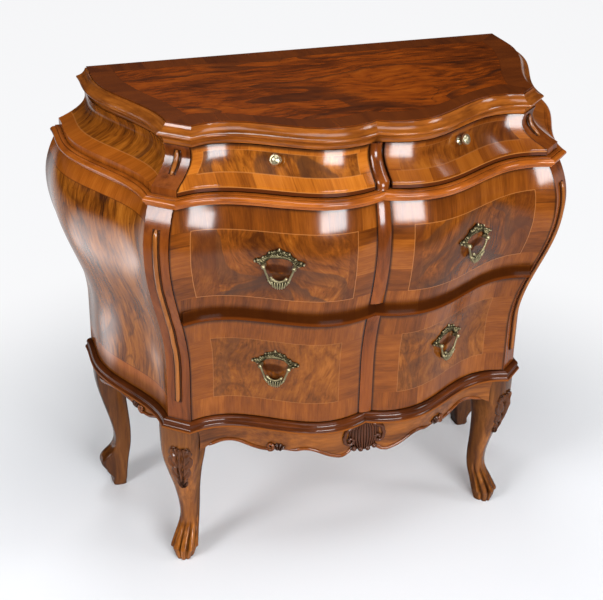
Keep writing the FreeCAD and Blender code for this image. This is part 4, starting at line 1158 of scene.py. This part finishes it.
# Dark rods of painted groove shade on both posts
grooves = with_mirror(joined([post_groove_shade, neck_groove_shade]))
settle(grooves, "corner_groove_shade_lines", groove_shade_walnut, "moulding_wood", "case")

# Floor, light and camera

PAPER = (0.97, 0.972, 0.985, 1)
floor = begin(bpy.ops.mesh.primitive_plane_add, size=60.0, location=(0, 0, -0.0005))
floor.name = "floor"
bpy.ops.object.transform_apply()
paper = bpy.data.materials.new("floor_paper")
paper.use_nodes = True
paper.node_tree.nodes.remove(paper.node_tree.nodes["Principled BSDF"])
sheet = Graph(paper.node_tree)
seen, glossy, through = (sheet.put("ShaderNodeLightPath", {}, f"Is {kind} Ray")
                         for kind in ("Camera", "Glossy", "Transmission"))
mirrored = sheet.calc("MAXIMUM", glossy, through)
lit_area = sheet.times(sheet.eased(sheet.y, -1.65, -1.05), sheet.eased(sheet.x, -2.6, -0.95))
dim_area = sheet.eased(lit_area, 0.0, 1.0, 0.97, 0.0)
apart = sheet.vector("LENGTH", sheet.place, output="Value")
level = sheet.times(lit_area, sheet.eased(apart, 0.5, 1.2, 0.05, 0.93))
share = sheet.calc("ADD", sheet.times(seen, sheet.calc("ADD", level, dim_area)),
                   sheet.eased(mirrored, 0.0, 1.0, 0.0, 0.6))
tone = sheet.ramp(lit_area, (0.0, 1.0), ((0.04, 0.04, 0.042), (0.87, 0.873, 0.89)))
lit = sheet.put("ShaderNodeBsdfDiffuse", {"Color": tone})
# Painted reflection: for glossy rays the floor glows, dim at the front and brighter behind, with a bright
# pool at the left back that shows as a pale sheen in the side panel's hollow
strip = sheet.times(sheet.eased(sheet.y, 0.36, 0.49), sheet.eased(sheet.y, 0.65, 1.0, 1.0, 0.0))
reflection_pool = sheet.times(strip, sheet.eased(sheet.x, -0.92, -0.68, 4.2, 0.0))
reflected_glow = sheet.times(lit_area, sheet.calc("ADD", reflection_pool, sheet.eased(sheet.y, 0.1, 1.6, 0.25, 0.9)))
strength = sheet.calc("ADD", seen, sheet.times(mirrored, reflected_glow))
pale = sheet.put("ShaderNodeEmission", {"Color": PAPER, "Strength": strength})
blended = sheet.put("ShaderNodeMixShader", {0: share, 1: lit, 2: pale})
sheet.feed(sheet.tree.nodes["Material Output"].inputs["Surface"], blended)
floor.data.materials.append(paper)

CHEST = Vector((0, 0, 0.5))


def softbox(name, place, size, power):
    """A square lamp turned to the chest."""
    lamp = bpy.data.lights.new(name, "AREA")
    lamp.shape = "RECTANGLE"
    lamp.size, lamp.size_y = size
    lamp.energy = power
    lamp.color = (0.96, 0.98, 1.0)
    stand = bpy.data.objects.new(name, lamp)
    stand.location = place
    stand.rotation_euler = (CHEST - Vector(place)).to_track_quat("-Z", "Y").to_euler()
    bpy.context.scene.collection.objects.link(stand)


softbox("front_softbox", (0.15, -3.0, 1.3), (1.7, 1.05), 104)
softbox("left_softbox", (-2.6, -1.3, 2.0), (0.9, 1.1), 52)
softbox("right_softbox", (2.8, -1.4, 2.4), (0.8, 1.0), 22)
softbox("overhead_softbox", (0.0, -0.9, 3.6), (2.2, 1.6), 44)
softbox("back_softbox", (0.3, 2.8, 3.4), (1.6, 1.0), 40)

world = bpy.data.worlds.new("studio")
bpy.context.scene.world = world
world.use_nodes = True
sky = Graph(world.node_tree, "Generated")
dusk = sky.tree.nodes["Background"]
sky.feed(dusk.inputs["Color"], sky.ramp(sky.z, (0.0, 0.1), ((0.1, 0.1, 0.102), (0.012, 0.012, 0.013))))
backdrop = sky.put("ShaderNodeBackground", {"Color": PAPER})
sight = sky.put("ShaderNodeLightPath", {}, "Is Camera Ray")
either = sky.put("ShaderNodeMixShader", {0: sight, 1: dusk.outputs[0], 2: backdrop})
sky.feed(sky.tree.nodes["World Output"].inputs["Surface"], either)

CAMERA_PLACE = (-0.72972, -1.9324, 1.54523)
lens = bpy.data.cameras.new("camera")
lens.lens = 77.5
lens.sensor_width = 36.0
camera = bpy.data.objects.new("camera", lens)
azimuth, elevation, roll = (radians(angle) for angle in (-19.04, 27.9, 1.21))
level_right = Vector((cos(azimuth), sin(azimuth), 0))
level_back = Vector((sin(azimuth), -cos(azimuth), 0))
backward = level_back * cos(elevation) + Vector((0, 0, sin(elevation)))
level_up = backward.cross(level_right)
right = cos(roll) * level_right + sin(roll) * level_up
up = -sin(roll) * level_right + cos(roll) * level_up
camera.matrix_world = framed(CAMERA_PLACE, right, up, backward)
bpy.context.scene.collection.objects.link(camera)
bpy.context.scene.camera = camera
bpy.context.scene.view_settings.view_transform = "Standard"
